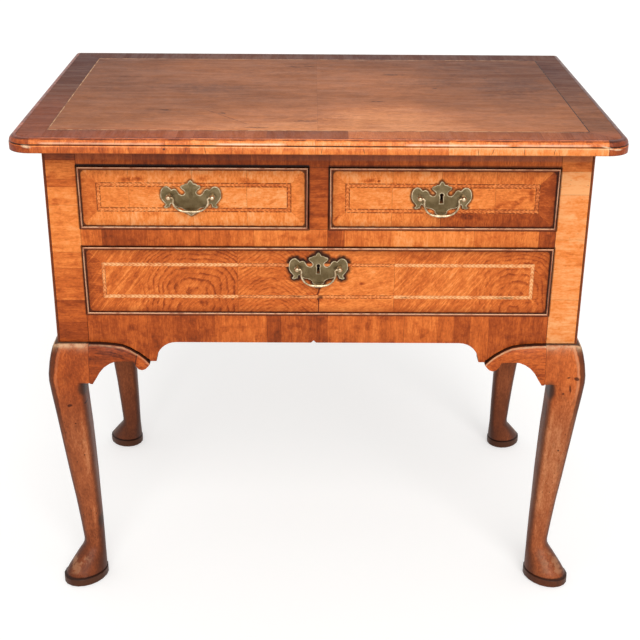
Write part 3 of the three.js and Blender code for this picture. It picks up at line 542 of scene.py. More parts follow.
# Materials that several pieces share
def openingShadeAndDirt(place, level):
    # Painted shade: dark lines in the gaps round the drawer openings and near black in the gap above the small
    # drawers; the noise adds patchy dirt
    openings = (((-0.1672, 0.0, 0.61425), (0.154, 0.04375)), ((0.1672, 0.0, 0.61425), (0.154, 0.04375)),
                ((0.0, 0.0, 0.495), (0.3212, 0.0505)))
    gapShade = []
    for centre, half in openings:
        past = useGroup(frameReach, {"Vector": objectPlace(centre), "Half X": half[0], "Half Z": half[1],
                                     "Round": 0.0004, "Ragged": 0.0003})["Past"]
        gapShade.append(ease(past, 0.0021, 0.0006))
    x, z = split(place)[::2]
    overDrawers = between(z, 0.6618, 0.6602, 0.655, 0.656)
    left = between(x, -0.3225, -0.321, -0.012, -0.0135)
    right = times(ease(x, 0.012, 0.0135), ease(x, 0.3225, 0.321, 0.0, 0.6))
    gapShadowAbove = times(overDrawers, calc("ADD", left, right))
    # painted shade: the top rail darkens towards the overhang of the top, with a painted shadow right under it
    level = lift(ease(z, 0.664, 0.6845), -0.13, level)
    shaded = ease(z, 0.681, 0.6868, 0.0, 0.85)
    veil = times(ease(z, 0.665, 0.669), ease(x, -0.1, 0.1, 0.14, 0.28))
    grimy = ease(noise(place, (0.02, 0.01, 0.012), 4.0, 0.65), 0.5, 0.72)
    level = lift(grimy, -0.16, level)

    return level, [
        (times(strongest(*gapShade), 0.75), (66, 24, 8)),
        (veil, (166, 120, 100)),
        (shaded, (52, 22, 12)),
        (times(gapShadowAbove, 0.95), (14, 4, 2)),
    ]


frameVeneer = veneer("crossGrainVeneer", walnutStops, frontAxis, 0.36, 0.16, spread=0.22, mottled=0.1,
                     flecked=0.09, extras=openingShadeAndDirt)
sideVeneer = veneer("sideVeneer", walnutStops, frontAxis, 0.4, 0.18, spread=0.34, mottled=0.1, flecked=0.1)
oakWood = solidWood("carcassOak", oakStops, "x", 0.75, 0.3, 0.55, mottled=0.12, dots=0.4)
oakWoodDeep = solidWood("drawerOak", oakStops, "y", 0.75, 0.3, 0.55, dots=0.4)
pineWood = solidWood("bottomPine", pineStops, "x", 0.8, 0.3, 0.5, dots=0.3)
core = solidWood("frontCore", oakStops, "x", 0.7, 0.3, 0.45, dots=0.3)


# Top
def makeTop():
    top = {"front": -212.5, "back": 217.5, "side": 353.6, "lineSide": 1.4, "lineFront": 2.2, "middle": (-2.0, -6.5),
           "frontJoints": (-183.6, -161.6, -68.1, 37.4, 131.5, 289.0, 315.0),
           "frontTones": (0.2, 0.12, 0.08, -0.06, 0.22, 0.17, 0.25, 0.18),
           "backJoints": (-291.5, -139.0, 133.0, 252.5), "backTones": (0.17, 0.18, 0.16, 0.22, 0.21),
           "leftJoints": (-141.0, -34.0, 40.0, 134.0), "leftTones": (0.21, 0.22, 0.2, 0.13, 0.13),
           "rightTones": (0.26, 0.3, 0.28, 0.21, 0.2), "fieldTones": (0.44, 0.42, 0.4, 0.425),
           "glows": ((40, -260, 420, 250, 0.327), (-130, 150, 260, 190, 0.165), (70, 50, 240, 170, 0.142),
                     (-150, -210, 200, 110, 0.034), (300, 120, 200, 260, -0.144), (90, -120, 130, 90, 0.194)),
           "marks": ((173, 25, 5, 4), (188, 47, 5, 3.5), (210, 114, 7, 3.5), (240, 150, 5, 4), (254, 92, 7, 4),
                     (243, 126, 4, 3.5), (253, 7, 4, 3), (83, -57, 13, 4), (-213, -111, 9, 6), (-133, -127, 7, 6),
                     (-26, 167, 30, 8), (-288, 90, 24, 6), (117, 112, 26, 6), (311, 200, 8, 5), (-82, -199, 20, 5),
                     (-20, -165, 24, 4)),
           "clouds": ((-26, 150, 117, 60), (160, 60, 78, 45), (290, 30, 78, 75), (-160, 20, 104, 36),
                      (-10, -150, 65, 33), (240, 190, 91, 45), (-212, -111, 33.8, 18)),
           "scratch": ((-0.129, -0.141, topHeight), (0.078, 0.0013, 0.02), (0.0, 0.0, math.radians(-51)))}

    def wearAndSheen(place, level):
        x, y = split(place)[:2]
        # Painted sheen: the level rises to the right, falls towards the back and rises in broad pools (glows), most at
        # the front middle, standing in for the gloss of the light on the top
        level = lift(x, 0.076, lift(y, -0.374, level))
        for *glow, weight in top["glows"]:
            level = lift(topSpots(place, [glow], 1.0, 0.0), weight, level)
        wide = ease(noise(place, (0.07, 0.07, 0.05), 4.0, 0.55, 0.6), 0.3, 0.7)
        level = sway(wide, 0.08, level)
        marks = topSpots(place, top["marks"], 0.02)
        clouds = topSpots(place, top["clouds"], 0.05)
        ragged = ease(noise(place, (0.008, 0.006, 0.006), 3.0, 0.6), 0.38, 0.6)
        level = lift(times(clouds, ragged), -0.07, level)
        scratch = spot(place, *top["scratch"])
        corner = times(ease(calc("ABSOLUTE", x), 0.3905, 0.392), ease(y, -0.19, -0.22))
        rim = strongest(ease(y, -0.2485, -0.2502), corner)
        worn = ease(noise(place, 0.02, 3.0, 0.6), 0.42, 0.58)
        warm = strongest(times(ease(y, -0.195, -0.235), ease(x, 0.05, -0.2, 0.45, 0.68)),
                         times(ease(x, -0.353, -0.358, 0.0, 0.5), ease(y, 0.06, -0.16)))

        return level, [
            (warm, ramp(lift(level, 0.8, 0.03), walnutStops)),
            (times(marks, ease(ragged, 0.0, 1.0, 0.15, 0.7)), (66, 28, 12)),
            (times(scratch, ease(ragged, 0.0, 1.0, 0.3, 0.7)), (84, 44, 28)),
            (times(rim, ease(worn, 0.0, 1.0, 0.3, 0.9)), (82, 26, 10)),
        ]

    topVeneer = veneer("topVeneer", topStops, topAxis, 0.46, 0.09, spread=0.05, mottled=0.08, flecked=0.07,
                       extras=wearAndSheen)
    piece = copyNode("top_board", "topBoard")
    side, front, back = top["side"], top["front"], top["back"]
    lineSide, lineFront = top["lineSide"], top["lineFront"]
    planes = across(0, [-side - lineSide, -side, side, side + lineSide, top["middle"][0], *top["frontJoints"],
                        *top["backJoints"]])
    planes += across(1, [front - lineFront, front, back, back + lineFront, top["middle"][1], *top["leftJoints"]])
    for signX in (-1, 1):
        for cornerY, signY in ((front, -1), (back, 1)):
            planes.append(((signX * side * mm, cornerY * mm, 0), (1.0, -signX * signY, 0.0)))
    cutThrough(piece, planes)
    bands = {
        "front": strips(0, top["frontJoints"], top["frontTones"], upright, 1.0),
        "back": strips(0, top["backJoints"], top["backTones"], upright, 3.0),
        "left": strips(1, top["leftJoints"], top["leftTones"], 0.0, 5.0),
        "right": strips(1, top["leftJoints"], top["rightTones"], 0.0, 7.0),
    }

    def leafOf(centre, normal):
        x, y = centre.x / mm, centre.y / mm
        outX, outFront, outBack = abs(x) - side, front - y, y - back
        out = max(outX, outFront, outBack)
        if out < 0:
            index = (1 if x > top["middle"][0] else 0) + (2 if y > top["middle"][1] else 0)
            jointX, jointY = (place * mm for place in top["middle"])
            return 0, top["fieldTones"][index], 9.0 + index, 0.0, lambda co: (
                abs(co.x - jointX) * 1.4, abs(co.y - jointY) * 0.8)
        if max(outX / lineSide, outFront / lineFront, outBack / lineFront) < 1:
            return plainLeaf(1, 0.5)
        name = "front" if out == outFront else "back" if out == outBack else "left" if x < 0 else "right"
        return bands[name](centre, normal)

    markLeaves(piece, leafOf)
    inlay, surface = newMaterial("topStringing", 0.5, 0.1)
    place = objectPlace()
    worn = noise(place, 0.012, 3.0, 0.6)
    ticks = noise(place, 0.006, 2.0, 0.5)
    dashes = times(ease(ticks, 0.3, 0.4), ease(split(place)[0], 0.3, 0.35, 0.1, 1.0))
    feed(surface["Base Color"],
         layered(shade(146, 92, 58), [(ease(worn, 0.38, 0.6), (212, 164, 122)), (dashes, (30, 14, 8))]))
    finish(piece, "case", ["top_board"], [topVeneer, inlay])


makeTop()
print("top ready")


# Mouldings round the top, in cross-grained lengths
def makeMouldings():
    edge = {"joints": (-330.6, -260.6, -197.0, -165.1, -111.6, -63.1, -5.7, 109.2, 165.4, 230.6, 307.4),
            "tones": (0.5, 0.48, 0.55, 0.53, 0.66, 0.63, 0.68, 0.69, 0.7, 0.83, 0.8, 0.82),
            "sideJoints": (-231.0, -172.0, -118.0, -64.0, -18.0, 41.0, 96.0, 149.0, 203.0),
            "sideTones": (0.32, 0.36, 0.28, 0.32, 0.22, 0.28, 0.3, 0.22, 0.24, 0.26),
            "creamHighlights": ((-374, 696.4, 9, 2.8, -8), (369, 698.2, 13, 2.0, -16), (382, 695.6, 9, 1.8, -4)),
            "gleams": ((-362, -195, 0.5), (-136, -39, 0.95), (106, 248, 0.85), (248, 352, 0.55)),
            "cracks": ((-334, 4), (-243, -3), (-171, 5), (-146, -4), (-98, 2), (3, 3), (57, -5), (128, 4), (203, -3),
                       (222, 6), (262, -2), (301, 3)), "knot": (-198.2, 693.8, 2.1, 1.8, 0)}

    def worn(place, level):
        # Painted light: a cream highlight along the lower ovolo (gleams), cream highlight spots at the corners and a
        # paler arris on the band; painted shade in the crease between ovolo and band; also cracks, a knot, dark
        # corners and a darker lower edge
        x, y, height = split(place)
        patchy = noise(place, (0.015, 0.004, 0.004), 3.0, 0.6)
        crease = between(height, 0.6972, 0.698, 0.69975, 0.6988)
        arris = between(height, 0.6958, 0.6964, 0.6977, 0.6971)
        ovolo = ease(height, 0.6982, 0.6992)
        level = lift(ovolo, lift(ease(x, 0.0, 0.3), -0.27, 0.1), level)
        level = lift(ease(height, 0.7034, 0.7056), -0.22, level)
        # painted highlight along the arris of the band
        level = lift(arris, times(patchy, 0.5), level)
        shiny = 0.0
        for start, end, strength in edge["gleams"]:
            shiny = lift(between(x, start * mm, (start + 12) * mm, end * mm, (end - 12) * mm), strength, shiny)
        line = between(height, 0.6991, 0.6999, 0.7022, 0.7008)
        broken = ease(noise(place, (0.03, 0.004, 0.004), 3.0, 0.6), 0.3, 0.55, 0.35, 1.0)
        gleam = times(line, broken, shiny)
        creamHighlights = spots(place, edge["creamHighlights"], -0.2575, 0.02, 0.2)
        normal = normalParts()
        lip = times(ease(height, 0.704, 0.705), ease(normal[2], 0.97, 0.9))
        lip = times(lip, ease(patchy, 0.4, 0.56, 0.05, 0.8))
        ends = times(ease(calc("ABSOLUTE", x), 0.379, 0.392), ease(y, -0.2, -0.235))
        splits = spots(place, [(at, 692.5, 0.6, 6.0, -3 * lean) for at, lean in edge["cracks"]], -0.2612, 0.01)
        knot = spots(place, [edge["knot"]], -0.2612, 0.01)
        # darker along the lower edge of the band
        foot = ease(height, 0.6888, 0.6876, 0.0, 0.5)
        clear = calc("SUBTRACT", 1.0, times(shiny, 0.45), clamp=True)

        return level, [
            (times(gleam, 0.85), (250, 224, 190)),
            (times(ends, ease(patchy, 0.35, 0.6, 0.1, 0.6)), (120, 44, 16)),
            (lip, (60, 20, 8)),
            (times(crease, clear, ease(patchy, 0.25, 0.5, 0.75, 1.0)), (26, 10, 4)),
            (times(creamHighlights, ease(patchy, 0.35, 0.5, 0.4, 0.9)), (244, 206, 166)),
            (times(splits, ease(patchy, 0.3, 0.5, 0.2, 0.7)), darkBrown),
            (times(knot, 0.85), darkBrown),
            (foot, darkBrown),
        ]

    walnut = veneer("mouldingWalnut", walnutStops, frontAxis, 0.34, 0.26, spread=0.2, extras=worn)
    front = copyNode("top_front_moulding", "frontMoulding")
    cutThrough(front, across(0, edge["joints"]))
    markLeaves(front, strips(0, edge["joints"], edge["tones"], upright))
    finish(front, "case", ["top_front_moulding"], [walnut], 50)
    for side, sign in (("left", -1), ("right", 1)):
        piece = copyNode(f"top_{side}_moulding", f"{side}Moulding")
        cutThrough(piece, across(1, edge["sideJoints"]))
        markLeaves(piece, strips(1, edge["sideJoints"], edge["sideTones"], upright, 4.0 + sign))
        finish(piece, "case", [f"top_{side}_moulding"], [walnut], 50)


makeMouldings()
print("mouldings ready")


# Front frame: rails, divider, apron and the facings of the posts
def makeFrontFrame():
    rails = {
        "mid_rail": (0, (-292.6, -272.4, -231.0, -160.3, -108.9, -87.3, -40.0, 12.1, 35.1, 98.0, 210.5, 298.6, 313.5),
                     (0.57, 0.27, 0.33, 0.45, 0.55, 0.55, 0.66, 0.62, 0.32, 0.62, 0.74, 0.6, 0.32, 0.3), upright),
        "top_rail": (0, (-246.0, -89.6, -27.8, 14.3, 106.4, 238.2),
                     (0.46, 0.3, 0.37, 0.3, 0.38, 0.47, 0.54), upright),
        "apron": (0, (-237.7, -161.8, -143.7, -71.0, -51.5, -12.4, 13.7, 120.3, 167.9, 190.3, 212.7, 239.3),
                  (0.38, 0.35, 0.36, 0.52, 0.22, 0.38, 0.32, 0.52, 0.57, 0.47, 0.38, 0.47, 0.38), upright),
        "left_stile": (2, (432.6, 465.9, 513.4, 536.7, 603.8, 629.0, 640.0, 666.0),
                       (0.32, 0.39, 0.53, 0.66, 0.77, 0.7, 0.54, 0.64, 0.36), 0.0),
        "right_stile": (2, (469.0, 557.4, 621.3, 653.2), (0.88, 0.83, 0.86, 0.97, 0.68), 0.0),
        "drawer_divider": (2, (588.0, 616.0, 641.0), (0.45, 0.38, 0.34, 0.36), 0.0),
    }
    for seed, (name, (axis, joints, tones, turn)) in enumerate(rails.items()):
        piece = copyNode(name, name.replace("_", "") + "Veneered")
        softenEdges(piece, panelEdge)
        cutThrough(piece, across(axis, joints))
        face = strips(axis, joints, tones, turn, 2.0 * seed)
        markLeaves(piece, lambda centre, normal, face=face: (
            face(centre, normal) if normal.y < -0.3 else plainLeaf(1, 0.4)))
        finish(piece, "case", [name], [frameVeneer, core])


makeFrontFrame()
print("front frame ready")


# Sides: two book-matched upright leaves each
def makeSides():
    sides = {"joints": (6.5,), "tones": {"left": (0.5, 0.56), "right": (0.62, 0.68)}}
    for seed, side in enumerate(("left", "right")):
        piece = copyNode(f"{side}_side", f"{side}SidePanel")
        softenEdges(piece, panelEdge)
        cutThrough(piece, across(1, sides["joints"]))
        face = strips(1, sides["joints"], sides["tones"][side], upright, 12.0 + 3.0 * seed)
        sign = -1 if side == "left" else 1
        markLeaves(piece, lambda centre, normal, face=face, sign=sign: (
            face(centre, normal) if normal.x * sign > 0.3 else plainLeaf(1, 0.4)))
        finish(piece, "case", [f"{side}_side"], [sideVeneer, core])


makeSides()
print("sides ready")


# How far each vertex lies inside the outer line of its leg, at its own height
def markInward(piece):
    reach = {}
    for vertex in piece.data.vertices:
        level = round(vertex.co.z, 4)
        reach[level] = max(reach.get(level, 0.0), abs(vertex.co.x))
    store(piece, "inward", lambda co: reach[round(co.z, 4)] - abs(co.x))


# How far each vertex of an ear lies below its top, in its own column
def markBelow(piece, along):
    corners = [vertex.co.copy() for vertex in piece.data.vertices]
    store(piece, "below", lambda co: max(
        corner.z for corner in corners if abs(corner[along] - co[along]) < 0.0008) - co.z)


# Legs and ears, solid walnut
def makeLegs():
    legs = {"tone": 0.54, "rightLift": 0.13, "rearShade": 0.07, "padDrop": 0.3, "caseHalf": 0.365,
            "caseFront": -0.2185,
            "knots": ((-352.7, 307.6, 5.0, 3.0, 20), (366.0, 354.2, 5.5, 3.6, -25), (354.5, 356.0, 3.0, 1.6, 10),
                      (-331.0, 309.0, 2.2, 2.0, 0), (-347.0, 277.0, 1.6, 1.4, 0), (349.0, 330.0, 2.2, 1.8, 0),
                      (352.0, 232.0, 2.0, 1.8, 0), (-339.0, 222.0, 1.8, 1.5, 0), (358.0, 338.0, 1.4, 9.0, 8)),
            "darkPatches": ((-331.0, 334.0, 11.05, 15.6, 0), (329.0, 333.0, 12.35, 20.8, 0),
                        (-324.0, 97.0, 7.8, 18.2, 0), (326.0, 300.0, 5.2, 33.8, 0))}

    def legDirtAndLight(place, level):
        # Painted light: highlights on the toes, the knee tops, a pale ridge inside the knee's outer edge and a streak
        # down the front arris; painted shade on the leg sides, the knee's outer rounding and the rear legs, and a
        # painted shadow on the knee tops under the case; also dark patches, knots and grime
        x, y, height = split(place)
        patchy = noise(place, (0.014, 0.014, 0.02), 3.0, 0.6)
        coarse = noise(place, (0.03, 0.03, 0.07), 3.0, 0.6)
        normal = normalParts()
        rear = ease(y, 0.0, 0.1)
        front = inverse(rear)
        pad = ease(height, 0.0135, 0.0125)
        # painted shade with grime in the groove above the pad
        groove = between(height, 0.0112, 0.0126, 0.0158, 0.0138)
        knots = spots(place, legs["knots"], -0.228, 0.05)
        darkPatches = spots(place, legs["darkPatches"], -0.225, 0.06)
        level = lift(times(ease(x, -0.1, 0.3), front), legs["rightLift"], level)
        # the rear legs are painted darker, as shade
        level = lift(rear, -legs["rearShade"], level)
        level = lift(pad, -legs["padDrop"], level)
        level = sway(coarse, 0.22, level)
        level = lift(ease(height, 0.14, 0.03), lift(ease(x, -0.1, 0.1), 0.06, -0.27), level)
        # painted highlight on the upward faces of the toes
        toe = times(ease(normal[2], 0.3, 0.75), between(height, 0.06, 0.03, 0.016, 0.022))
        ledge = times(ease(height, 0.385, 0.4), ease(normal[2], 0.15, 0.6))
        out = strongest(calc("SUBTRACT", calc("ABSOLUTE", x), legs["caseHalf"]),
                        calc("SUBTRACT", legs["caseFront"], y))
        shadow = times(ledge, ease(out, 0.005, 0.003))
        # painted highlight on the knee tops
        pale = times(ledge, ease(noise(place, 0.012, 4.0, 0.65), 0.34, 0.6, 0.15, 0.9))
        facing = times(normal[0], inverse(times(calc("GREATER_THAN", x, 0.0), 2.0)))
        # painted highlight: a streak down the front arris
        arris = times(ease(calc("ABSOLUTE", calc("SUBTRACT", facing, 0.3)), 0.2, 0.0),
                      between(height, 0.34, 0.27, 0.04, 0.09))
        arris = times(arris, front, ease(coarse, 0.4, 0.6, 0.2, 1.0))
        level = lift(arris, 0.14, level)
        post = ease(height, 0.4, 0.404)
        # painted shade on the faces that turn sideways
        sides = times(ease(calc("ABSOLUTE", normal[0]), 0.4, 0.85, 0.0, 0.68), inverse(post))
        inward = stored("inward")
        inward = sway(patchy, 0.004, inward)
        # painted shade with grime on the knee's outer rounding
        edge = times(ease(inward, 0.0104, 0.0084), ease(height, 0.4005, 0.3985), ease(height, 0.24, 0.31, 0.25, 0.75))
        # painted highlight: a pale ridge inside the knee's outer edge
        worn = times(between(inward, 0.0152, 0.0118, 0.0094, 0.0108), ease(height, 0.31, 0.34),
                     ease(x, -0.1, 0.1, 0.15, 0.5))
        postEdge = times(post, calc("LESS_THAN", normal[1], -0.4))
        warm = strongest(post, times(ease(height, 0.25, 0.36, 0.0, 0.85), front))
        smoky = ease(patchy, 0.54, 0.72, 0.0, 0.3)

        return level, [
            (warm, ramp(sway(level, 0.95, 0.355, 0.55), walnutStops)),
            (smoky, (76, 36, 18)),
            (times(rear, 0.2), (104, 62, 42)),
            (sides, (64, 32, 18)),
            (worn, (226, 156, 112)),
            (edge, (66, 34, 20)),
            (times(postEdge, 0.7), (74, 36, 20)),
            (times(pad, ease(patchy, 0.4, 0.6, 0.7, 0.4)), (84, 50, 32)),
            (times(darkPatches, 0.8), (58, 36, 26)),
            (times(knots, 0.85), (52, 16, 6)),
            (times(toe, ease(patchy, 0.5, 0.62, 0.0, 0.35)), (214, 156, 114)),
            (times(pale, 0.8), (226, 186, 144)),
            (times(shadow, 0.9), (44, 20, 10)),
            (times(groove, 0.8), (30, 12, 6)),
        ]

    legWood = solidWood("legWalnut", legStops, "z", 0.42, 0.17, legs["tone"], spread=0.16, mottled=0.07,
                        flecked=0.14, dots=1.0, dotPitch=0.95, extras=legDirtAndLight)
    for name in ("front_left", "front_right", "rear_left", "rear_right"):
        piece = copyNode(f"{name}_leg", name.replace("_", "") + "Leg", 0.3)
        markInward(piece)
        finish(piece, "case", [f"{name}_leg"], [legWood], 40)

    ears = {"tone": 0.24, "rightLift": 0.19, "lobeJoint": -0.3236, "bowFrom": 0.31}

    def earDirtAndLight(place, level):
        # Painted light: a painted shadow under the apron along the ear's top edge and a pale painted highlight just
        # below it; the lobe joint is a dark joint
        x, height = split(place)[::2]
        below = stored("below")
        shadow = ease(below, 0.0018, 0.0009)
        pale = times(between(below, 0.0011, 0.002, 0.0046, 0.0028),
                     ease(noise(place, 0.012, 4.0, 0.65), 0.34, 0.6, 0.3, 0.95))
        bow = times(calc("POWER", calc("SUBTRACT", calc("ABSOLUTE", x), ears["bowFrom"]), 2.0), 6.0)
        bent = vectorCalc("ADD", place, put("CombineXYZ", {"Z": bow}).outputs[0])
        curl = ease(noise(bent, (0.05, 0.05, 0.0028), 2.0, 0.6, 0.3), 0.48, 0.66)
        right = ease(x, -0.1, 0.1)
        leaned = lift(height, -0.18, x)
        lobe = times(ease(leaned, ears["lobeJoint"] - 0.0002, ears["lobeJoint"] + 0.0002), ease(x, -0.2, -0.205))
        joint = ease(calc("ABSOLUTE", calc("SUBTRACT", leaned, ears["lobeJoint"])), 0.0011, 0.0004)
        level = lift(right, ears["rightLift"], level)
        level = lift(curl, -0.18, level)
        level = lift(lobe, 0.16, level)

        return level, [
            (times(joint, 0.8), darkBrown),
            (times(pale, ease(right, 0.0, 1.0, 0.45, 0.85)), (224, 180, 136)),
            (times(shadow, 0.95), (34, 15, 8)),
        ]

    earWood = solidWood("earWalnut", walnutStops, "x", 0.4, 0.18, ears["tone"], spread=0.2, mottled=0.14, flecked=0.14,
                        dots=0.7, extras=earDirtAndLight)
    for name in ("front_left", "front_right", "left_front_side", "left_rear_side", "right_front_side",
                 "right_rear_side"):
        piece = copyNode(f"{name}_ear", name.replace("_", "") + "Ear", 0.3)
        markBelow(piece, 0 if name.startswith("front") else 1)
        finish(piece, "case", [f"{name}_ear"], [earWood], 40)


makeLegs()
print("legs and ears ready")


# Drawer fronts: veneered border and centre with a feather band between them
def makeBandMaterial():
    band = {"pitch": 0.0058, "lean": 1.5, "dashes": (
        (120, 471.2, 8, 1.3, 0), (-30, 472.4, 14, 1.3, 0), (262, 471.4, 26, 1.4, 0), (3, 471, 6, 5, 0))}
    material, surface = newMaterial("featherBand", 0.4, 0.16)
    place = objectPlace()
    tone, pale, point = leafValues()
    along, side = split(put("UVMap", uv_map="seam").outputs[0])[:2]
    wobble = noise(place, 0.004, 2.0, 0.6)
    worn = noise(place, (0.016, 0.008, 0.008), 4.0, 0.65)
    fine = noise(place, (0.0035, 0.002, 0.002), 2.0, 0.6)
    fromLine = calc("ABSOLUTE", side)
    run = lift(fromLine, times(point, band["lean"]), along)
    run = lift(wobble, 0.003, run)
    share = calc("FRACT", calc("DIVIDE", run, band["pitch"]))
    piece = between(share, 0.0, 0.3, 0.75, 0.5)
    level = sway(worn, 0.7, tone)
    level = sway(fine, 0.5, level)
    level = sway(piece, 0.16, level)
    ragged = sway(fine, 0.003, fromLine)
    inside = ease(ragged, 0.0032, 0.0022)
    kept = times(ease(worn, 0.34, 0.52, 0.35, 1.0), ease(piece, 0.0, 1.0, 0.4, 1.0))
    dotted = ease(noise(place, 0.003, 2.0, 0.6), 0.36, 0.54)
    edge = times(ease(calc("ABSOLUTE", calc("SUBTRACT", fromLine, 0.0022)), 0.0009, 0.0003), dotted)
    edge = times(edge, lift(pale, -0.75, 0.95))
    dashes = times(spots(place, band["dashes"], frontPlane, 0.05, 0.2), ease(worn, 0.4, 0.5))
    base = layered(ramp(level, walnutStops), [
        (times(inside, pale, kept), (255, 194, 134)), (edge, (100, 40, 14)), (times(dashes, 0.85), (70, 28, 12))])
    paint(surface, base, 0.4, piece, 0.0001, 0.5)
    return material


featherBand = makeBandMaterial()


def drawerVeneer(name, centre, half, front):
    def grimeAndShade(place, level):
        if "figure" in front:
            level = front["figure"](place, level)
        past = useGroup(frameReach, {"Vector": objectPlace(centre), "Half X": half[0], "Half Z": half[1],
                                     "Round": 0.007, "Ragged": 0.0006})["Past"]
        # Painted shade with dirt: a dark line along the bead and a dark halo round the plate; the border also darkens
        # towards the bead
        line = ease(past, -0.0022, -0.0006)
        soft = ease(past, -0.012, 0.0)
        away = stored("toPlate")
        patchy = noise(place, 0.006, 3.0, 0.6)
        away = sway(patchy, front["haloReach"], away)
        halo = ease(away, front["haloReach"], front["haloReach"] * 0.2)
        flaws = strongest(*[times(spots(place, [flaw], frontPlane, 0.05, 0.2), weight)
                            for *flaw, weight in front["flaws"]])
        ragged = ease(noise(place, (0.005, 0.004, 0.004), 3.0, 0.65), 0.36, 0.56, 0.25, 1.0)
        level = lift(times(flaws, ragged), -0.6, level)

        return level, [
            (times(soft, front["soft"]), (112, 44, 12)),
            (times(line, 0.85), (58, 20, 6)),
            (times(halo, front["halo"]), (30, 13, 6)),
        ]
    return veneer(name, walnutStops, frontAxis, 0.34, 0.16, spread=0.13, mottled=0.17, flecked=0.14,
                  extras=grimeAndShade)


def makeFront(name, front):
    cuts = {"margin": 8, "counts": ((0, 60), (2, 40)), "skin": 0.0005, "bandSpan": 5.6}
    low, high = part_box(f"{name}_front")
    x0, x1, z0, z1 = front["band"]
    wide = front["bandWidth"]
    piece = copyNode(f"{name}_front", name.replace("_", "") + "Front")
    planes = across(0, [x0 - wide, x0, x1, x1 + wide, *front["joints"]])
    planes += across(2, [z0 - wide, z0, z1, z1 + wide])
    for x in (x0, x1):
        for z in (z0, z1):
            lean = 1.0 if (x == x0) == (z == z0) else -1.0
            planes.append(((x * mm, 0, z * mm), (1.0, 0.0, -lean)))
    plateLow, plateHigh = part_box(f"{name}_backplate")
    for axis, count in cuts["counts"]:
        start, end = plateLow[axis] / mm - cuts["margin"], plateHigh[axis] / mm + cuts["margin"]
        planes += across(axis, [start + (end - start) * step / count for step in range(count + 1)])
    cutThrough(piece, planes)
    middle = strips(0, front["joints"], front["centreTones"], 0.0, front["seed"])
    border = strips(0, front["joints"], front["borderTones"], upright, front["seed"] + 5.0)
    lower = strips(0, front["joints"], front.get("lowerTones", front["borderTones"]), upright, front["seed"] + 5.0)
    turns = front.get("turns")

    def leafOf(centre, normal):
        if normal.y > -0.9 or centre.y > low.y + cuts["skin"]:
            return plainLeaf(2, 0.4)
        x, z = centre.x / mm, centre.z / mm
        outX, outZ = max(x0 - x, x - x1), max(z0 - z, z - z1)
        out = max(outX, outZ)
        index = sum(1 for joint in front["joints"] if x > joint)
        if out < 0:
            slot, tone, seed, turn, measure = middle(centre, normal)
            return slot, tone, seed, turns[index] if turns else turn, measure
        if out < wide:
            tone, depth = front["bandTones"][index]
            point = 1.0 if x < (x0 + x1) / 2 else -1.0
            if outZ > outX:
                line = (z0 - wide / 2 if z < z0 else z1 + wide / 2) * mm
                return 1, tone, depth, point, lambda co: (co.x, (co.z - line) * cuts["bandSpan"] / wide)
            line = (x0 - wide / 2 if x < x0 else x1 + wide / 2) * mm
            return 1, tone, front.get("sideBands", (depth, depth))[0 if x < x0 else 1], 1.0, lambda co: (
                co.z, (co.x - line) * cuts["bandSpan"] / wide)
        if outX > outZ:
            end = 0 if x < x0 else 1
            return plainLeaf(0, front["endTones"][end], front["seed"] + 8.0 + end)
        slot, tone, seed, turn, measure = (lower if z < z0 else border)(centre, normal)
        return slot, tone, seed, turns[index] if turns else turn, measure

    markLeaves(piece, leafOf)
    middlePlace = ((low.x + high.x) / 2, low.y, (low.z + high.z) / 2)
    half = ((high.x - low.x) / 2 - beadGap, (high.z - low.z) / 2 - beadGap)
    markDistance(piece, nodes[f"{name}_backplate"])
    finish(piece, name, [f"{name}_front"], [
        drawerVeneer(name.replace("_", "") + "Veneer", middlePlace, half, front),
        featherBand, core])


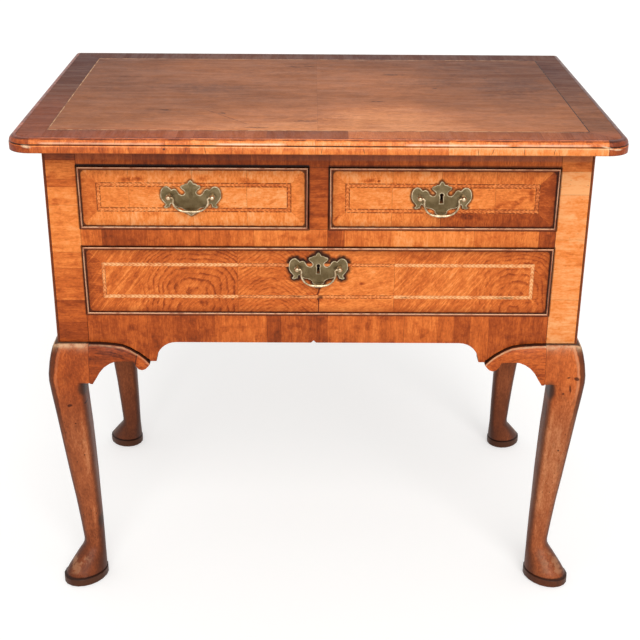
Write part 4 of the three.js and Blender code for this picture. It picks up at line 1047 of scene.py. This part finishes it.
def longFigure(place, level):
    rings = {"arches": ((-0.168, 0.4742, 1.1, -0.262, -0.1104, 0.3), (0.2717, 0.473, 0.95, 0.2, 0.33, 0.26)),
             "lift": 0.021, "peak": (-0.0651, 0.8, 0.0066), "peakWeight": 0.2, "streakTurn": 52, "streaks": 0.16}
    x, z = split(place)[::2]
    slow = noise(place, 0.03, 2.0, 0.5)
    small = noise(place, 0.005, 2.0, 0.5)
    shift = lift(small, 0.4, times(slow, 2.0))
    broken = ease(noise(place, 0.012, 3.0, 0.6), 0.38, 0.6, 0.15, 1.0)

    def ringLine(count, window, weight):
        share = calc("FRACT", calc("ADD", count, shift))
        line = between(share, 0.45, 0.9, 1.0, 0.93)
        line = times(line, broken, window)
        return lift(line, -weight, level)

    lower = lift(calc("LESS_THAN", z, 0.4705), rings["lift"], z)
    for centreX, centreZ, wide, start, end, weight in rings["arches"]:
        flat = calc("DIVIDE", calc("ABSOLUTE", calc("SUBTRACT", x, centreX)), wide)
        up = calc("SUBTRACT", lower, centreZ)
        tall = lift(calc("MINIMUM", up, 0.0), -0.3, strongest(up, 0.0))
        reach = calc("POWER", calc("ADD", calc("POWER", flat, 2.6), calc("POWER", tall, 2.6)), 1 / 2.6)
        count = lift(calc("POWER", reach, 3.0), 10500.0, times(reach, 68.0))
        window = between(x, start, start + 0.04, end, end - 0.001)
        level = ringLine(count, window, weight)
    middle, slope, pitch = rings["peak"]
    away = calc("SUBTRACT", x, middle)
    rounded = calc("SQRT", lift(away, away, 0.00004))
    count = calc("DIVIDE", lift(rounded, slope, z), pitch)
    window = between(x, -0.1106, -0.1104, -0.0015, -0.0016)
    level = ringLine(count, window, rings["peakWeight"])
    leaning = put("Mapping", {"Vector": place, "Rotation": (0.0, math.radians(rings["streakTurn"]), 0.0)})
    streaks = ease(noise(leaning.outputs[0], (0.06, 0.02, 0.0042), 2.0, 0.6), 0.5, 0.66)
    paler = calc("ADD", ease(x, -0.19, -0.24), between(x, 0.104, 0.106, 0.27, 0.2))
    level = lift(times(streaks, paler), rings["streaks"], level)
    wave = calc("SUBTRACT", noise(place, (5.0, 5.0, 0.02), 1.0, 0.5), 0.5)
    away = calc("ABSOLUTE", lift(wave, 0.012, calc("SUBTRACT", x, 0.0006)))
    crack = times(ease(away, ease(z, 0.45, 0.486, 0.0012, 0.0022), 0.0004), ease(z, 0.489, 0.486))
    return lift(crack, -0.6, level)


fronts = {
    "left_drawer": {
        "band": (-290.5, -42.8, 601.0, 629.6), "bandWidth": 6.2, "joints": (-253.0, -168.7, -96.0), "seed": 20.0,
        "centreTones": (0.72, 0.76, 0.82, 0.84), "borderTones": (0.74, 0.8, 0.8, 0.8),
        "bandTones": ((0.66, 0.12), (0.74, 0.15), (0.62, 0.05), (0.58, 0.05)), "endTones": (0.6, 0.72), "soft": 0.25,
        "halo": 0.6, "haloReach": 0.0032,
        "flaws": ((-248, 640, 26, 6, 4, 0.65), (-93, 638, 18, 6, -10, 0.5), (-150, 642, 14, 5, 12, 0.4),
                  (-62, 610, 12, 4, 25, 0.45), (-225, 592, 22, 5, 0, 0.3), (-196, 640, 8, 4, 30, 0.4))},
    "right_drawer": {
        "band": (41.4, 289.1, 600.4, 629.6), "bandWidth": 6.2, "joints": (98.0, 163.5, 236.0), "seed": 24.0,
        "centreTones": (0.76, 0.8, 0.74, 0.66), "borderTones": (0.8, 0.78, 0.7, 0.62),
        "lowerTones": (0.74, 0.7, 0.38, 0.3),
        "bandTones": ((0.66, 0.1), (0.62, 0.06), (0.6, 0.08), (0.52, 0.12)), "endTones": (0.66, 0.34), "soft": 0.35,
        "halo": 0.8, "haloReach": 0.004,
        "flaws": ((79.5, 639, 3.4, 2.6, 20, 1.0), (68, 640, 16, 4, 8, 0.5), (23, 586, 9, 2, 50, 0.6),
                  (96, 634, 12, 4, 10, 0.45), (268, 612, 20, 6, 40, 0.5), (240, 604, 16, 5, 10, 0.45),
                  (284, 620, 6, 14, 0, 0.5), (200, 590, 30, 7, -8, 0.4))},
    "long_drawer": {
        "band": (-291.0, 291.0, 474.5, 516.5), "bandWidth": 5.0, "joints": (-110.4, -1.6, 104.5), "seed": 28.0,
        "centreTones": (0.55, 0.6, 0.68, 0.6), "borderTones": (0.52, 0.56, 0.66, 0.56),
        "bandTones": ((0.66, 0.95), (0.62, 0.4), (0.66, 0.2), (0.7, 0.95)), "sideBands": (0.5, 0.9),
        "endTones": (0.4, 0.52),
        "figure": longFigure, "turns": (0.9, 0.3, 0.2, 0.95), "soft": 0.4, "halo": 0.95, "haloReach": 0.007,
        "flaws": ((3, 470, 7, 6, 0, 0.8), (60, 492, 5, 3, 0, 0.6), (20, 530, 12, 4, -8, 0.5),
                  (75, 500, 4, 3, 0, 0.5), (-84, 492, 20, 8, 40, 0.25), (150, 530, 30, 7, 0, 0.25),
                  (-255, 500, 26, 16, 50, 0.25))},
}
for name, front in fronts.items():
    makeFront(name, front)
print("drawer fronts ready")


# Cockbeads: the nose gets a painted highlight, and painted shade with dirt lies along both its sides; the upright
# lengths at the ends are darker
def makeBeads():
    beads = {"leftUprightDark": 0.55, "rightUprightDark": 0.85}

    def worn(place, level):
        depth = split(place)[1]
        normal = normalParts()
        patchy = noise(place, (0.012, 0.01, 0.012), 3.0, 0.6)
        # painted highlight on the upper half of the nose
        nose = times(ease(normal[1], -0.72, -0.9), ease(normal[2], -0.1, 0.2))
        nose = times(nose, ease(patchy, 0.34, 0.56, 0.3, 1.0))
        stands = leafValues()[0]
        # painted shade with dirt along both sides of the bead
        sides = ease(depth, -0.2203, -0.2194)

        return level, [
            (0.4, (160, 76, 38)),
            (nose, (246, 192, 150)),
            (stands, (60, 24, 10)),
            (times(sides, 0.92), (40, 15, 6)),
        ]

    beadWood = solidWood("beadWalnut", legStops, "x", 0.32, 0.28, 0.45, spread=0.2, dots=0.7, extras=worn)
    for name in fronts:
        piece = copyNode(f"{name}_cockbead", name.replace("_", "") + "Bead")
        low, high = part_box(f"{name}_cockbead")
        markLeaves(piece, lambda centre, normal, low=low, high=high: plainLeaf(
            0, beads["leftUprightDark"] if centre.x - low.x < beadGap else
            beads["rightUprightDark"] if high.x - centre.x < beadGap else 0.0))
        finish(piece, name, [f"{name}_cockbead"], [beadWood], 60)


makeBeads()
print("beads ready")


# Brass and iron
def makeMetals():
    plateCentres = []
    for name in fronts:
        low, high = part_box(f"{name}_backplate")
        plateCentres.append(tuple((a + b) / 2 for a, b in zip(low, high)))
    brass, surface = newMaterial("oldBrass", 0.42, 0.5, 1.0)
    place = objectPlace()
    normal = normalParts()
    # Pale rims: rubbed brass with a painted highlight on the bevels and the edge strip
    rim = strongest(ease(normal[1], -0.97, -0.8), leafValues()[0])
    cloudy = noise(place, 0.008, 4.0, 0.6)
    fine = noise(place, 0.0012, 2.0, 0.6)
    soiled = strongest(*[strongest(
        spot(place, (x, y, z - 0.006), (0.026, 0.05, 0.013), core=0.2),
        spot(place, (x, y, z + 0.0035), (0.0042, 0.05, 0.0078))) for x, y, z in plateCentres])
    polished = tint(cloudy, shade(188, 168, 132), shade(226, 208, 176))
    rubbed = ease(noise(place, 0.006, 3.0, 0.6), 0.36, 0.58, 0.25, 1.0)
    base = layered(shade(106, 90, 62), [
        (ease(cloudy, 0.3, 0.7), (138, 120, 88)),
        (times(soiled, 0.55), (80, 62, 38)),
        (times(rim, rubbed), polished),
        # painted shade on the edges that face down
        (times(ease(normal[1], -0.5, -0.2), ease(normal[2], 0.3, -0.1)), (32, 26, 15)),
        (ease(fine, 0.6, 0.75, 0.0, 0.4), (62, 48, 32)),
    ])
    paint(surface, base, ease(cloudy, 0.3, 0.7, 0.34, 0.5), fine, 0.00005, 0.4)

    worn, surface = newMaterial("wornBrass", 0.3, 0.5, 1.0)
    place = objectPlace()
    cloudy = noise(place, 0.006, 3.0, 0.6)
    base = tint(ease(cloudy, 0.35, 0.65), shade(158, 136, 104), shade(222, 202, 168))
    paint(surface, base, ease(cloudy, 0.3, 0.7, 0.4, 0.28), noise(place, 0.001, 2.0, 0.6), 0.00004, 0.4)

    iron, surface = newMaterial("lockIron", 0.5, 0.5, 0.85)
    rust = noise(objectPlace(), 0.007, 4.0, 0.65)
    base = tint(ease(rust, 0.4, 0.7), shade(84, 78, 70), shade(86, 54, 34))
    paint(surface, base, ease(rust, 0.35, 0.7, 0.4, 0.75), rust, 0.0002, 0.5)
    return brass, worn, iron


brass, wornBrass, iron = makeMetals()


# A narrow strip inside the outline of the plate is marked pale: rubbed brass with a painted highlight along the edge
def paleRim(plate, width):
    startEdit(plate, "DESELECT")
    endEdit()
    for face in plate.data.polygons:
        face.select = face.normal.y < -0.995
    startEdit(plate)
    bpy.ops.mesh.inset(thickness=width, depth=0.0, use_even_offset=False)
    endEdit()
    inner = iter([face.select for face in plate.data.polygons])
    markLeaves(plate, lambda centre, normal: plainLeaf(0, 1.0 if not next(inner) and normal.y < -0.995 else 0.0))


def makeHandles():
    handle = {"plateEdge": 0.0009, "rim": 0.001, "roundness": 0.00022, "lockEdge": 0.0004}
    for name in fronts:
        bailBody = name.replace("_drawer", "_bail")
        short = name.replace("_", "")
        plate = copyNode(f"{name}_backplate", short + "Plate")
        softenEdges(plate, handle["plateEdge"], 60)
        paleRim(plate, handle["rim"])
        finish(plate, name, [f"{name}_backplate"], [brass], 50)
        bail = copyNode(f"{name}_bail", short + "Bail", 0.01)
        startEdit(bail, "SELECT")
        bpy.ops.mesh.tris_convert_to_quads()
        bpy.ops.transform.shrink_fatten(value=handle["roundness"])
        endEdit()
        applyModifier(bail, "SUBSURF", levels=2, render_levels=2)
        finish(bail, bailBody, [f"{name}_bail"], [wornBrass], 60)
        for side in ("left", "right"):
            post = copyNode(f"{name}_{side}_post", f"{short}{side.capitalize()}Post")
            finish(post, name, [f"{name}_{side}_post"], [wornBrass], 40)
        if f"{name}_lock" in nodes:
            lock = copyNode(f"{name}_lock", short + "Lock")
            softenEdges(lock, handle["lockEdge"])
            finish(lock, name, [f"{name}_lock"], [iron])


makeHandles()
print("handles and locks ready")


# Carcass parts behind the veneer keep their own shapes
def finishInside():
    for name, piece in nodes.items():
        if piece.hide_render:
            continue
        material = oakWood
        if name.endswith("_bottom"):
            material = pineWood
        elif name.endswith("_side") or name.endswith("_runner"):
            material = oakWoodDeep
        piece.data.materials.clear()
        piece.data.materials.append(material)


finishInside()
print("inside ready")
